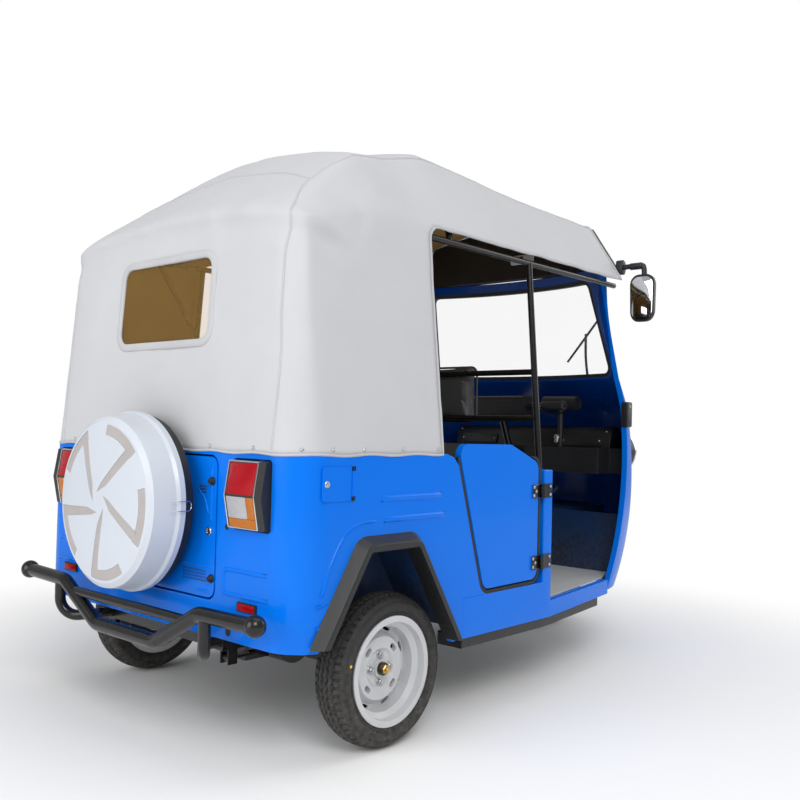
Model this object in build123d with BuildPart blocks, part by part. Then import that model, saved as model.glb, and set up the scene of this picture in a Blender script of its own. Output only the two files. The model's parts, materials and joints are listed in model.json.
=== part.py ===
"""Three-wheeled passenger auto rickshaw, modelled in millimetres.

+X points forward, +Y to the left-hand side and +Z up. The origin lies on the ground,
under the middle of the vehicle's bounding box.
"""
import math
import os

from build123d import *

os.makedirs("parts", exist_ok=True)

# Wheels and axles
WHEELBASE = 1900.0
REAR_AXLE_X = -780.0
FRONT_AXLE_X = REAR_AXLE_X + WHEELBASE
TYRE_RADIUS = 233.5
TYRE_WIDTH = 123.0
BEAD_RADIUS = 152.4
FLANGE_RADIUS = 166.5
RIM_WALL = 4.5
BEAD_HALF = 50.7
SHOULDER_RADIUS = 221.0
HUB_SHAFT_RADIUS = 20.0
FRONT_AXLE_RADIUS = 10.0
BEARING_PLAY = 0.05
SEAT_GAP = 0.3

# Body
BODY_HALF_WIDTH = 700.0
REAR_WHEEL_Y = BODY_HALF_WIDTH - 80.5
BODY_REAR_X = -1200.0
BODY_CORNER = 120.0
BODY_WALL = 20.0
BODY_REAR_BOTTOM = 345.0
SILL_BOTTOM = 285.0
SILL_TOP = 418.0
SILL_FRONT_X = -470.0
HEM_Z = 893.0
HEM_FRONT_X = -571.0
FLOOR_TOP = 350.0
FLOOR_THICK = 5.0
POST_REAR_X = 5.0
POST_FRONT_X = 60.0
POST_TOP = 830.0

# Wheel arch: outline of the flare seen from the side
ARCH_REAR_FOOT = (-1150.0, 360.0)
ARCH_REAR_TOP = (-966.0, 656.0)
ARCH_FRONT_TOP = (-709.0, 656.0)
ARCH_FRONT_FOOT = (-480.0, 295.0)
ARCH_TOP_FILLET = 60.0
FLARE_BAND = 42.0
FLARE_PROUD = 34.0
FLARE_SLOPE = 35.0
FLARE_ROUNDING = 7.0
FLARE_LIP = 3.0
HOUSING_INNER_Y = BODY_HALF_WIDTH - 176.0
HOUSING_WALL = 6.0

# Doors: outline seen from the side
DOOR_REAR_TOP = (-510.0, 925.0)
DOOR_CHAMFER_TOP = (-209.0, 923.0)
DOOR_CHAMFER_FRONT = (-35.0, 856.0)
DOOR_FRONT_BOTTOM = (-35.0, 437.0)
DOOR_REAR_BOTTOM = (-357.0, 435.0)
DOOR_CORNER = 38.0
DOOR_THICK = 24.0
DOOR_GAP = 5.5
SEAL_WIDTH = 11.5
DOOR_HINGE_X = -18.0
DOOR_HINGE_Y = BODY_HALF_WIDTH + 9.0
DOOR_HINGE_HEIGHTS = (496.0, 754.0)
HINGE_PIN = 5.0
HINGE_BARREL = 9.0
HINGE_HEIGHT = 50.0

# Charging flap in the right-hand side
FLAP_REAR_X = -1117.0
FLAP_HINGE_X = -1000.0
FLAP_HINGE_Y = BODY_HALF_WIDTH + 4.5
FLAP_Z = (762.0, 860.0)
FLAP_THICK = 3.0
FLAP_CORNER = 8.0
FLAP_BARREL = 3.0
FLAP_KNUCKLE = 13.0
FLAP_PLAY = 1.0

# Rear hatch and the spare wheel's case
HATCH_HALF_WIDTH = 335.0
HATCH_BOTTOM = 456.0
HATCH_TOP = 874.0
HATCH_CORNER = 30.0
HATCH_GAP = 6.0
HATCH_HINGE_X = BODY_REAR_X - 10.0
HATCH_HINGE_Y = HATCH_HALF_WIDTH + 10.0
HATCH_HINGE_HEIGHTS = (545.0, 800.0)
SPARE_Z = 725.0
SPARE_RIM_X = -1274.0
SPARE_RIM_RADIUS = 281.0
SPARE_PAN_RADIUS = 270.0
SPARE_PAN_X = -1235.0
SPARE_FACE_X = -1376.0
SPARE_FACE_RADIUS = 258.0
SPARE_DOME = 14.0
COVER_WALL = 4.0

# Canopy: stations along X, each with its eave, roof seam and crown
CANOPY_WALL = 8.0
EAVE = (BODY_HALF_WIDTH - 80.0, 1645.0)
OPENING_TOP = 1640.0
OPENING_REAR_X = -590.0
OPENING_CORNER = 50.0
CANOPY_FRONT_X = 720.0
CANOPY_REAR_TOP_X = -1165.0
CANOPY_CORNER_TOP = 150.0
WINDOW_HALF_WIDTH = 250.0
WINDOW_BOTTOM = 1230.0
WINDOW_TOP = 1490.0
WINDOW_CORNER = 40.0
TUBE = 11.0

# Front cowl
COWL_WALL = 24.0
COWL_BACK_X = 600.0
COWL_TOP = 1690.0
PILLAR_FOOT = (660.0, 310.0)
PILLAR_BOW = (815.0, 1020.0)
PILLAR_HEAD = (664.0, 1660.0)
ARCH_FRONT_HALF = 300.0
ARCH_FRONT_HEIGHT = 525.0
SCREEN_BOTTOM = 1226.0
SCREEN_TOP = 1652.0
SCREEN_HALF_BOTTOM = 520.0
SCREEN_HALF_TOP = 462.0
SCREEN_CORNER = 45.0
SCREEN_RUBBER = 16.0
WHEELHOUSE_HALF = 262.0
WHEELHOUSE_TOP = 612.0
BULKHEAD_X = 820.0

# Steering: a raked column through the handlebar's middle
RAKE = 24.0
BAR_X = 690.0
BAR_Z = 1085.0
BAR_HALF = 385.0
BAR_RADIUS = 11.1
BAR_MIDDLE_RADIUS = 12.0
BAR_STRAIGHT = 140.0
BAR_SWEEP = 45.0
BAR_RISE = 5.0
GRIP_INNER_Y = 262.0
SHROUD_WALL = 5.0
COLUMN_RADIUS = 17.0
FORK_LEG_Y = 94.0
FORK_LEG_RADIUS = 17.0
CROWN_HEIGHT = 312.0
COLUMN_FOOT_Z = 495.0
HEAD_TUBE_Z = (560.0, 700.0)
HEAD_TUBE_RADIUS = 27.0
MUDGUARD_RADIUS = 270.0
MUDGUARD_HALF = 72.0

# Seats and cab
DRIVER_SEAT_HALF = 320.0
DRIVER_SEAT_X = (105.0, 500.0)
DRIVER_SEAT_Z = (705.0, 800.0)
DRIVER_BACK_Z = (1000.0, 1230.0)
BENCH_X = (-925.0, -490.0)
BENCH_HALF = BODY_HALF_WIDTH - 48.0
BENCH_Z = (680.0, 800.0)
BENCH_BACK_TOP = 1235.0
PARTITION_TOP = 735.0

# Rear bumper
BUMPER_X = -1284.0
BUMPER_RADIUS = 22.5
BUMPER_Z = 430.0
BUMPER_DIP_Z = 315.0
BUMPER_HALF = 631.0

SIDES = (-1, 1)


def add_rod(start, end, radius, mode=Mode.ADD):
    """Straight round bar between two points."""
    run = Vector(*end) - Vector(*start)
    with BuildSketch(Plane(origin=start, z_dir=run)) as section:
        Circle(radius)
    extrude(section.sketch, amount=run.length, mode=mode)


def add_tube_path(corners, radii, radius, mode=Mode.ADD):
    """Round bar along straight runs joined by arcs."""
    with BuildLine() as path:
        FilletPolyline(*corners, radius=radii)
    start = path.line @ 0
    with BuildSketch(Plane(origin=start, z_dir=path.line % 0)) as section:
        Circle(radius)
    sweep(section.sketch, path=path.line, mode=mode)


def add_block(low, high, mode=Mode.ADD):
    """Box from its lowest to its highest corner."""
    size = [high[i] - low[i] for i in range(3)]
    middle = [(high[i] + low[i]) / 2 for i in range(3)]
    with Locations(tuple(middle)):
        Box(*size, mode=mode)


def side_plane(y):
    """Upright plane at y, drawn in X and Z, whose extrusions grow towards +Y."""
    return Plane(origin=(0, y, 0), x_dir=(-1, 0, 0), z_dir=(0, 1, 0))


def finish(part, name):
    """Name a finished piece and write it."""
    part.label = name
    export_step(part, f"parts/{name}.step")


def arch_sketch(inset, foot_run=200.0):
    """Wheel arch outline in the XZ plane, drawn inset from the flare's outer edge."""
    rear_run = (Vector(*ARCH_REAR_FOOT) - Vector(*ARCH_REAR_TOP)).normalized() * foot_run
    front_run = (Vector(*ARCH_FRONT_FOOT) - Vector(*ARCH_FRONT_TOP)).normalized() * foot_run
    rear_low = Vector(*ARCH_REAR_FOOT) + rear_run
    front_low = Vector(*ARCH_FRONT_FOOT) + front_run
    with BuildSketch(side_plane(0)) as sketch:
        with BuildLine():
            Polyline(
                (-rear_low.X, rear_low.Y),
                (-ARCH_REAR_TOP[0], ARCH_REAR_TOP[1]),
                (-ARCH_FRONT_TOP[0], ARCH_FRONT_TOP[1]),
                (-front_low.X, front_low.Y),
                close=True,
            )
        make_face()
        top_corners = sketch.vertices().group_by(Axis.Z)[-1]
        fillet(top_corners, ARCH_TOP_FILLET)
        if inset:
            offset(amount=-inset, kind=Kind.INTERSECTION, mode=Mode.REPLACE)
    return sketch.sketch


def door_sketch(margin=0.0):
    """Door outline in the XZ plane, drawn larger by a margin."""
    corners = (
        DOOR_REAR_TOP,
        DOOR_CHAMFER_TOP,
        DOOR_CHAMFER_FRONT,
        DOOR_FRONT_BOTTOM,
        DOOR_REAR_BOTTOM,
    )
    with BuildSketch(side_plane(0)) as sketch:
        with BuildLine():
            Polyline(*[(-x, z) for x, z in corners], close=True)
        make_face()
        fillet(sketch.vertices(), DOOR_CORNER)
        if margin:
            offset(amount=margin, kind=Kind.ARC, mode=Mode.REPLACE)
    return sketch.sketch


def plan_u_sketch(z, rear_x, half_width, corner, inset=0.0, front_x=800.0):
    """Plan outline with two rounded rear corners, open towards the front."""
    rear = rear_x + inset
    half = half_width - inset
    with BuildSketch(Plane.XY.offset(z)) as sketch:
        with BuildLine():
            FilletPolyline(
                (front_x, -half), (rear, -half), (rear, half), (front_x, half),
                radius=corner - inset,
            )
            Line((front_x, half), (front_x, -half))
        make_face()
    return sketch.sketch


# Rear body: side walls, rounded corners and rear wall in one pressing
with BuildPart() as rear_body:
    extrude(plan_u_sketch(BODY_REAR_BOTTOM, BODY_REAR_X, BODY_HALF_WIDTH, BODY_CORNER), amount=HEM_Z - BODY_REAR_BOTTOM)
    extrude(
        plan_u_sketch(BODY_REAR_BOTTOM, BODY_REAR_X, BODY_HALF_WIDTH, BODY_CORNER, BODY_WALL, 900.0),
        amount=HEM_Z - BODY_REAR_BOTTOM,
        mode=Mode.SUBTRACT,
    )
    for side in SIDES:
        low_y = BODY_HALF_WIDTH - BODY_WALL if side > 0 else -BODY_HALF_WIDTH
        add_block((ARCH_FRONT_FOOT[0] - 200.0, low_y, SILL_BOTTOM), (SILL_FRONT_X, low_y + BODY_WALL, BODY_REAR_BOTTOM))
    with BuildSketch(side_plane(-BODY_HALF_WIDTH - 10)) as front_trim:
        with BuildLine():
            Polyline(
                (-HEM_FRONT_X, HEM_Z + 1),
                (-HEM_FRONT_X, HEM_Z),
                (-HEM_FRONT_X - 40.0, HEM_Z - 12.0),
                (-HEM_FRONT_X - 85.0, HEM_Z - 60.0),
                (-SILL_FRONT_X - 130.0, SILL_TOP),
                (-SILL_FRONT_X, SILL_TOP),
                (-SILL_FRONT_X, SILL_BOTTOM - 1),
                (-900.0, SILL_BOTTOM - 1),
                (-900.0, HEM_Z + 1),
                close=True,
            )
        make_face()
    extrude(front_trim.sketch, amount=2 * BODY_HALF_WIDTH + 20, mode=Mode.SUBTRACT)
    door_clear = door_sketch(DOOR_GAP + SEAL_WIDTH)
    extrude(door_clear, amount=BODY_HALF_WIDTH + 10, both=True, mode=Mode.SUBTRACT)
    extrude(arch_sketch(FLARE_BAND), amount=BODY_HALF_WIDTH + 10, both=True, mode=Mode.SUBTRACT)
    with BuildSketch(Plane.YZ.offset(BODY_REAR_X - 5)) as hatch_hole:
        with Locations((0, (HATCH_TOP + HATCH_BOTTOM) / 2)):
            RectangleRounded(
                2 * (HATCH_HALF_WIDTH + HATCH_GAP),
                HATCH_TOP - HATCH_BOTTOM + 2 * HATCH_GAP,
                HATCH_CORNER + HATCH_GAP,
            )
    extrude(hatch_hole.sketch, amount=BODY_WALL + 10, mode=Mode.SUBTRACT)
finish(rear_body.part, "rear_body")

# Inner wheel housings: a folded band over each wheel and the wall beside the seat
with BuildPart() as wheel_housings:
    outer = arch_sketch(FLARE_BAND - HOUSING_WALL)
    inner = arch_sketch(FLARE_BAND)
    for side in SIDES:
        y_low = HOUSING_INNER_Y if side > 0 else -(BODY_HALF_WIDTH - BODY_WALL)
        depth = BODY_HALF_WIDTH - BODY_WALL - HOUSING_INNER_Y
        wall_y = HOUSING_INNER_Y if side > 0 else -HOUSING_INNER_Y - HOUSING_WALL
        extrude(Pos(0, y_low, 0) * outer, amount=depth)
        extrude(Pos(0, wall_y if side > 0 else y_low, 0) * inner,
                amount=depth if side > 0 else depth, mode=Mode.SUBTRACT)
        extrude(Pos(0, wall_y, 0) * outer, amount=HOUSING_WALL)
        slot_low = min(side * (HOUSING_INNER_Y - 5), side * (HOUSING_INNER_Y + HOUSING_WALL + 5))
        add_block(
            (REAR_AXLE_X - 75, slot_low, 100),
            (REAR_AXLE_X + 75, slot_low + HOUSING_WALL + 10, 430),
            mode=Mode.SUBTRACT,
        )
    add_block((BODY_REAR_X, -BODY_HALF_WIDTH, 0), (0, BODY_HALF_WIDTH, BODY_REAR_BOTTOM), mode=Mode.SUBTRACT)
    with BuildPart(mode=Mode.PRIVATE) as inside_body:
        extrude(plan_u_sketch(0.0, BODY_REAR_X, BODY_HALF_WIDTH, BODY_CORNER, BODY_WALL), amount=HEM_Z)
    add(inside_body.part, mode=Mode.INTERSECT)
finish(wheel_housings.part, "wheel_housings")

# Wheel arch flares: a sloped outer face, a rounded crest and a lip over the body's cut edge
LIP_INNER_Y = BODY_HALF_WIDTH - BODY_WALL - 4.0
LIP_DEPTH = BODY_HALF_WIDTH + FLARE_PROUD - FLARE_ROUNDING - LIP_INNER_Y
with BuildPart() as flare:
    extrude(Pos(0, BODY_HALF_WIDTH, 0) * arch_sketch(0), amount=FLARE_PROUD, taper=FLARE_SLOPE)
    extrude(Pos(0, BODY_HALF_WIDTH, 0) * arch_sketch(FLARE_BAND), amount=FLARE_PROUD, mode=Mode.SUBTRACT)
    crest = flare.faces().sort_by(Axis.Y)[-1].outer_wire().edges()
    fillet(crest, FLARE_ROUNDING)
    lip_ring = arch_sketch(FLARE_BAND) - arch_sketch(FLARE_BAND + FLARE_LIP)
    extrude(Pos(0, LIP_INNER_Y, 0) * lip_ring, amount=LIP_DEPTH)
    below = BODY_REAR_X - 300.0
    far = BODY_HALF_WIDTH + 200.0
    add_block((below, 0, 0), (REAR_AXLE_X, far, ARCH_REAR_FOOT[1]), mode=Mode.SUBTRACT)
    add_block((REAR_AXLE_X, 0, 0), (0, far, ARCH_FRONT_FOOT[1]), mode=Mode.SUBTRACT)
with BuildPart() as arch_flares:
    add(flare.part)
    add(mirror(flare.part, about=Plane.XZ))
finish(arch_flares.part, "arch_flares")

# Sills under the doors and the cab, with the short post behind the driver's doorway
SILL_TAPER_X = 60.0
SILL_END = (660.0, 606.0)
SILL_THICK = 30.0
SILL_CAB_TOP = 345.0
with BuildPart() as sills:
    for side in SIDES:
        with BuildSketch(Plane.XY.offset(SILL_BOTTOM)) as plan:
            with BuildLine():
                Polyline(
                    (SILL_FRONT_X, side * BODY_HALF_WIDTH),
                    (SILL_TAPER_X, side * BODY_HALF_WIDTH),
                    (SILL_END[0], side * SILL_END[1]),
                    (SILL_END[0], side * (SILL_END[1] - SILL_THICK)),
                    (SILL_TAPER_X, side * (BODY_HALF_WIDTH - SILL_THICK)),
                    (SILL_FRONT_X, side * (BODY_HALF_WIDTH - SILL_THICK)),
                    close=True,
                )
            make_face()
        extrude(plan.sketch, amount=SILL_CAB_TOP - SILL_BOTTOM)
        wall_low = min(side * BODY_HALF_WIDTH, side * (BODY_HALF_WIDTH - BODY_WALL))
        add_block((SILL_FRONT_X, wall_low, SILL_BOTTOM), (POST_FRONT_X, wall_low + BODY_WALL, SILL_TOP))
        post_low = min(side * BODY_HALF_WIDTH, side * (BODY_HALF_WIDTH - 60))
        add_block((POST_REAR_X, post_low, FLOOR_TOP), (POST_FRONT_X, post_low + 60, POST_TOP))
    extrude(door_clear, amount=BODY_HALF_WIDTH + 10, both=True, mode=Mode.SUBTRACT)
finish(sills.part, "sills")

# Cab floor from the rear wall to the toe board
with BuildPart() as cab_floor:
    REAR_FLOOR_HALF = HOUSING_INNER_Y - 0.5
    CAB_FLOOR_HALF = BODY_HALF_WIDTH - SILL_THICK - 0.5
    FLOOR_FRONT = (BULKHEAD_X - 6, 515.0)
    with BuildSketch(Plane.XY.offset(FLOOR_TOP - FLOOR_THICK)) as plan:
        with BuildLine():
            Polyline(
                (BODY_REAR_X + BODY_WALL, -REAR_FLOOR_HALF),
                (SILL_FRONT_X, -REAR_FLOOR_HALF),
                (SILL_FRONT_X, -CAB_FLOOR_HALF),
                (SILL_TAPER_X, -CAB_FLOOR_HALF),
                (SILL_END[0], -(SILL_END[1] - SILL_THICK - 0.5)),
                (FLOOR_FRONT[0], -FLOOR_FRONT[1]),
                (FLOOR_FRONT[0], FLOOR_FRONT[1]),
                (SILL_END[0], SILL_END[1] - SILL_THICK - 0.5),
                (SILL_TAPER_X, CAB_FLOOR_HALF),
                (SILL_FRONT_X, CAB_FLOOR_HALF),
                (SILL_FRONT_X, REAR_FLOOR_HALF),
                (BODY_REAR_X + BODY_WALL, REAR_FLOOR_HALF),
                close=True,
            )
        make_face()
    extrude(plan.sketch, amount=FLOOR_THICK)
finish(cab_floor.part, "cab_floor")

# Side steps
STEP_Y = (560.0, 668.0)
STEP_X = (-430.0, 600.0)
STEP_Z = (240.0, 284.7)
with BuildPart() as side_steps:
    for side in SIDES:
        with BuildSketch(Plane.XY.offset(STEP_Z[0])) as plan:
            with BuildLine():
                Polyline(
                    (STEP_X[0], side * STEP_Y[0]),
                    (STEP_X[0], side * STEP_Y[1]),
                    (SILL_TAPER_X, side * STEP_Y[1]),
                    (STEP_X[1], side * (STEP_Y[1] - 75)),
                    (STEP_X[1], side * (STEP_Y[0] - 40)),
                    close=True,
                )
            make_face()
        extrude(plan.sketch, amount=STEP_Z[1] - STEP_Z[0])
finish(side_steps.part, "side_steps")

# Chassis: two rails, cross members and the steering head
RAIL_Y = 300.0
RAIL_WIDTH = 40.0
RAIL_Z = (290.0, 344.8)
RAIL_X = (-1150.0, 760.0)
CROSS_X = (-1130.0, -470.0, 30.0, 740.0)
SPRING_Y = RAIL_Y
SPRING_EYES = (-1110.0, -450.0)
LEAF_THICK = 8.0
LEAF_WIDTH = 31.0
with BuildPart() as chassis_frame:
    for side in SIDES:
        y = side * RAIL_Y
        add_block((RAIL_X[0], y - RAIL_WIDTH / 2, RAIL_Z[0]), (RAIL_X[1], y + RAIL_WIDTH / 2, RAIL_Z[1]))
        for eye_x in SPRING_EYES:
            for hanger in SIDES:
                low_y, high_y = sorted((y + hanger * (LEAF_WIDTH / 2 + SEAT_GAP), y + hanger * RAIL_WIDTH / 2))
                add_block((eye_x - 18, low_y, 245), (eye_x + 18, high_y, RAIL_Z[0]))
    for x in CROSS_X:
        add_block((x - 20, -RAIL_Y, RAIL_Z[0] + 5), (x + 20, RAIL_Y, RAIL_Z[1] - 5))
    for x in (-300.0, 30.0, 500.0):
        add_block((x - 15, -560, RAIL_Z[0] + 5), (x + 15, 560, RAIL_Z[1] - 5))
finish(chassis_frame.part, "chassis_frame")

# Rear axle beam with hub shafts, and its leaf springs
AXLE_TUBE = 27.0
with BuildPart() as rear_axle:
    add_rod((REAR_AXLE_X, -505, TYRE_RADIUS), (REAR_AXLE_X, 505, TYRE_RADIUS), AXLE_TUBE)
    for side in SIDES:
        add_rod((REAR_AXLE_X, side * 500, TYRE_RADIUS), (REAR_AXLE_X, side * 512, TYRE_RADIUS), 58)
        add_rod((REAR_AXLE_X, side * 500, TYRE_RADIUS), (REAR_AXLE_X, side * 640, TYRE_RADIUS), HUB_SHAFT_RADIUS)
        y = side * SPRING_Y
        for eye_x in SPRING_EYES:
            add_rod((eye_x, y - LEAF_WIDTH / 2, 262), (eye_x, y + LEAF_WIDTH / 2, 262), 13)
        for row, (reach, drop) in enumerate(((330.0, 0.0), (240.0, 0.0), (150.0, 0.0))):
            z = 268.0 + row * LEAF_THICK
            add_block((REAR_AXLE_X - reach, y - LEAF_WIDTH / 2, z - LEAF_THICK), (REAR_AXLE_X + reach, y + LEAF_WIDTH / 2, z))
        add_block((REAR_AXLE_X - 45, y - LEAF_WIDTH / 2, TYRE_RADIUS), (REAR_AXLE_X + 45, y + LEAF_WIDTH / 2, 264))
finish(rear_axle.part, "rear_axle")

# Drive unit on the axle: motor and gear case as one plain block
with BuildPart() as drive_unit:
    add_rod((REAR_AXLE_X + 75, -150, 225), (REAR_AXLE_X + 75, 150, 225), 78)
    add_block((REAR_AXLE_X - 80, -70, 165), (REAR_AXLE_X + 60, 70, 300))
    add_rod((REAR_AXLE_X, -160, TYRE_RADIUS), (REAR_AXLE_X, 160, TYRE_RADIUS), AXLE_TUBE, mode=Mode.SUBTRACT)
finish(drive_unit.part, "drive_unit")


SLOT_CIRCLE = 120.0
VENT_CIRCLE = 78.5


def build_rim(name, x, centre_y, bore, disc_side):
    """Deep-dished pressed rim with slots, vents and its brake drum.

    disc_side is the sign of Y towards which the dish opens.
    """
    half = 56.0
    with BuildPart() as rim:
        with BuildSketch(Plane.XY) as barrel:
            with BuildLine():
                Polyline(
                    (FLANGE_RADIUS, half), (FLANGE_RADIUS, half - 5), (BEAD_RADIUS, half - 5),
                    (BEAD_RADIUS - 3, 30), (134, 22), (134, -22), (BEAD_RADIUS - 3, -30),
                    (BEAD_RADIUS, 5 - half), (FLANGE_RADIUS, 5 - half), (FLANGE_RADIUS, -half),
                    (BEAD_RADIUS - RIM_WALL, -half), (BEAD_RADIUS - RIM_WALL - 3, -33),
                    (134 - RIM_WALL, -24), (134 - RIM_WALL, 20), (BEAD_RADIUS - RIM_WALL - 3, 33),
                    (BEAD_RADIUS - RIM_WALL, half), close=True,
                )
            make_face()
        revolve(barrel.sketch, axis=Axis.Y)
        with BuildSketch(Plane.XY) as disc:
            with BuildLine():
                Polyline(
                    (131, -16), (112, -16), (96, 6), (62, 6), (52, -2), (28, -2), (28, 10),
                    (bore, 10), (bore, -50), (82, -50), (82, -12), (92, -4), (108, -22), (131, -22),
                    close=True,
                )
            make_face()
        revolve(disc.sketch, axis=Axis.Y)
        with BuildSketch(Plane.XZ.offset(-30)) as slots:
            with PolarLocations(SLOT_CIRCLE, 8, start_angle=22.5):
                SlotOverall(36, 11, rotation=90)
        extrude(slots.sketch, amount=56, mode=Mode.SUBTRACT)
        with BuildSketch(Plane.XZ.offset(-30)) as vents:
            with PolarLocations(VENT_CIRCLE, 4, start_angle=45):
                SlotOverall(30, 17, rotation=90)
        extrude(vents.sketch, amount=44, mode=Mode.SUBTRACT)
    placed = Pos(x, centre_y, TYRE_RADIUS) * (rim.part if disc_side > 0 else mirror(rim.part, about=Plane.XZ))
    finish(placed, name)


def build_tyre(name, x, centre_y):
    """Tubeless road tyre seated on the rim's beads."""
    half = TYRE_WIDTH / 2
    bead = BEAD_RADIUS + SEAT_GAP
    flange_edge = FLANGE_RADIUS + SEAT_GAP
    with BuildPart() as tyre:
        with BuildSketch(Plane.XY) as section:
            with BuildLine():
                Polyline(
                    (flange_edge, -BEAD_HALF), (bead, 0.7 - BEAD_HALF), (bead, BEAD_HALF - 0.7),
                    (flange_edge, BEAD_HALF),
                )
                ThreePointArc((flange_edge, BEAD_HALF), (196, half), (SHOULDER_RADIUS, 50))
                ThreePointArc((SHOULDER_RADIUS, 50), (TYRE_RADIUS, 0), (SHOULDER_RADIUS, -50))
                ThreePointArc((SHOULDER_RADIUS, -50), (196, -half), (flange_edge, -BEAD_HALF))
            make_face()
        revolve(section.sketch, axis=Axis.Y)
    finish(Pos(x, centre_y, TYRE_RADIUS) * tyre.part, name)


WHEELS = (
    # name, axle x, centre y, hub bore radius, side to which the dish opens
    ("rear_{}_right", REAR_AXLE_X, -REAR_WHEEL_Y, HUB_SHAFT_RADIUS + BEARING_PLAY, -1),
    ("rear_{}_left", REAR_AXLE_X, REAR_WHEEL_Y, HUB_SHAFT_RADIUS + BEARING_PLAY, 1),
    ("front_{}", FRONT_AXLE_X, 0.0, FRONT_AXLE_RADIUS + BEARING_PLAY, -1),
)
for name, x, y, bore, disc_side in WHEELS:
    build_rim(name.format("rim"), x, y, bore, disc_side)
    build_tyre(name.format("tyre"), x, y)


# Front cowl: plan sections from floor to roof
COWL_ROWS = (
    # height, half width at back, shoulder x, shoulder half width, nose x
    (300.0, 606.0, 890.0, 500.0, 1130.0),
    (520.0, 628.0, 1015.0, 500.0, 1290.0),
    (1000.0, 634.0, 1020.0, 500.0, 1272.0),
    (1090.0, 630.0, 1000.0, 495.0, 1215.0),
    (1215.0, 616.0, 850.0, 536.0, 965.0),
    (COWL_TOP, 592.0, 700.0, 490.0, 795.0),
)


def cowl_section(row, inset):
    """Closed plan section: two tapering sides, a round nose and a straight back."""
    z, back_half, shoulder_x, shoulder_half, nose_x = row
    centre_x = (nose_x**2 - shoulder_x**2 - shoulder_half**2) / (2 * (nose_x - shoulder_x))
    radius = nose_x - centre_x
    normal = Vector((shoulder_x - centre_x) / radius, shoulder_half / radius)
    sx = shoulder_x - inset * normal.X
    sy = shoulder_half - inset * normal.Y
    back_x = COWL_BACK_X - (10.0 if inset else 0.0)
    back_y = back_half - inset
    with BuildSketch(Plane.XY.offset(z)) as sketch:
        with BuildLine():
            TangentArc((back_x, back_y), (sx, sy), tangent=(1, 0))
            ThreePointArc((sx, sy), (nose_x - inset, 0), (sx, -sy))
            TangentArc((back_x, -back_y), (sx, -sy), tangent=(1, 0))
            Line((back_x, -back_y), (back_x, back_y))
        make_face()
    return sketch.sketch


def cowl_solid(inset, stretch=0.0):
    """Solid nose and screen frame, inset from the outside."""
    lower = [cowl_section(row, inset) for row in COWL_ROWS[:4]]
    upper = [cowl_section(row, inset) for row in COWL_ROWS[3:]]
    with BuildPart() as solid:
        loft(lower)
        loft(upper, ruled=True)
        if stretch:
            extrude(cowl_section(COWL_ROWS[0], inset), amount=-stretch)
            extrude(cowl_section(COWL_ROWS[-1], inset), amount=stretch)
    return solid.part


def screen_sketch(margin=0.0):
    """Windscreen aperture seen from the front."""
    with BuildSketch(Plane.YZ.offset(COWL_BACK_X)) as sketch:
        with BuildLine():
            FilletPolyline(
                (-SCREEN_HALF_BOTTOM, SCREEN_BOTTOM), (SCREEN_HALF_BOTTOM, SCREEN_BOTTOM),
                (SCREEN_HALF_TOP, SCREEN_TOP), (-SCREEN_HALF_TOP, SCREEN_TOP),
                radius=SCREEN_CORNER, close=True,
            )
        make_face()
        if margin:
            offset(amount=margin, mode=Mode.REPLACE)
    return sketch.sketch


cowl_outer = cowl_solid(0.0)
cowl_inner = cowl_solid(COWL_WALL, stretch=20.0)

LAMP_Y = 355.0
LAMP_Z = 880.0
LAMP_RADIUS = 100.0
LAMP_X = (1000.0, 1190.0)
with BuildPart() as front_cowl:
    add(cowl_outer)
    add(cowl_inner, mode=Mode.SUBTRACT)
    with BuildSketch(side_plane(-900)) as behind_pillar:
        with BuildLine():
            Line((-500, 280), (-PILLAR_FOOT[0], 280))
            Line((-PILLAR_FOOT[0], 280), (-PILLAR_FOOT[0], PILLAR_FOOT[1]))
            ThreePointArc((-PILLAR_FOOT[0], PILLAR_FOOT[1]), (-PILLAR_BOW[0], PILLAR_BOW[1]), (-PILLAR_HEAD[0], PILLAR_HEAD[1]))
            Line((-PILLAR_HEAD[0], PILLAR_HEAD[1]), (-PILLAR_HEAD[0], 1720))
            Line((-PILLAR_HEAD[0], 1720), (-500, 1720))
            Line((-500, 1720), (-500, 280))
        make_face()
    extrude(behind_pillar.sketch, amount=1800, mode=Mode.SUBTRACT)
    extrude(screen_sketch(), amount=800, mode=Mode.SUBTRACT)
    with BuildSketch(Plane.YZ.offset(COWL_BACK_X)) as arch:
        with Locations((0, ARCH_FRONT_HEIGHT - 250)):
            RectangleRounded(2 * ARCH_FRONT_HALF, 500, 90)
    extrude(arch.sketch, amount=900, mode=Mode.SUBTRACT)
    for side in SIDES:
        add_rod((LAMP_X[0] - 100, side * LAMP_Y, LAMP_Z), (LAMP_X[1] + 200, side * LAMP_Y, LAMP_Z), LAMP_RADIUS + SEAT_GAP, mode=Mode.SUBTRACT)
finish(front_cowl.part, "front_cowl")

# Windscreen glass and its rubber, both cut from the cowl's own shell
with BuildPart() as glass_layer:
    add(cowl_solid(8.0, stretch=20.0))
    add(cowl_solid(13.0, stretch=20.0), mode=Mode.SUBTRACT)
with BuildPart() as windscreen:
    extrude(screen_sketch(-SCREEN_RUBBER), amount=800)
    add(glass_layer.part, mode=Mode.INTERSECT)
finish(windscreen.part, "windscreen")

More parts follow.
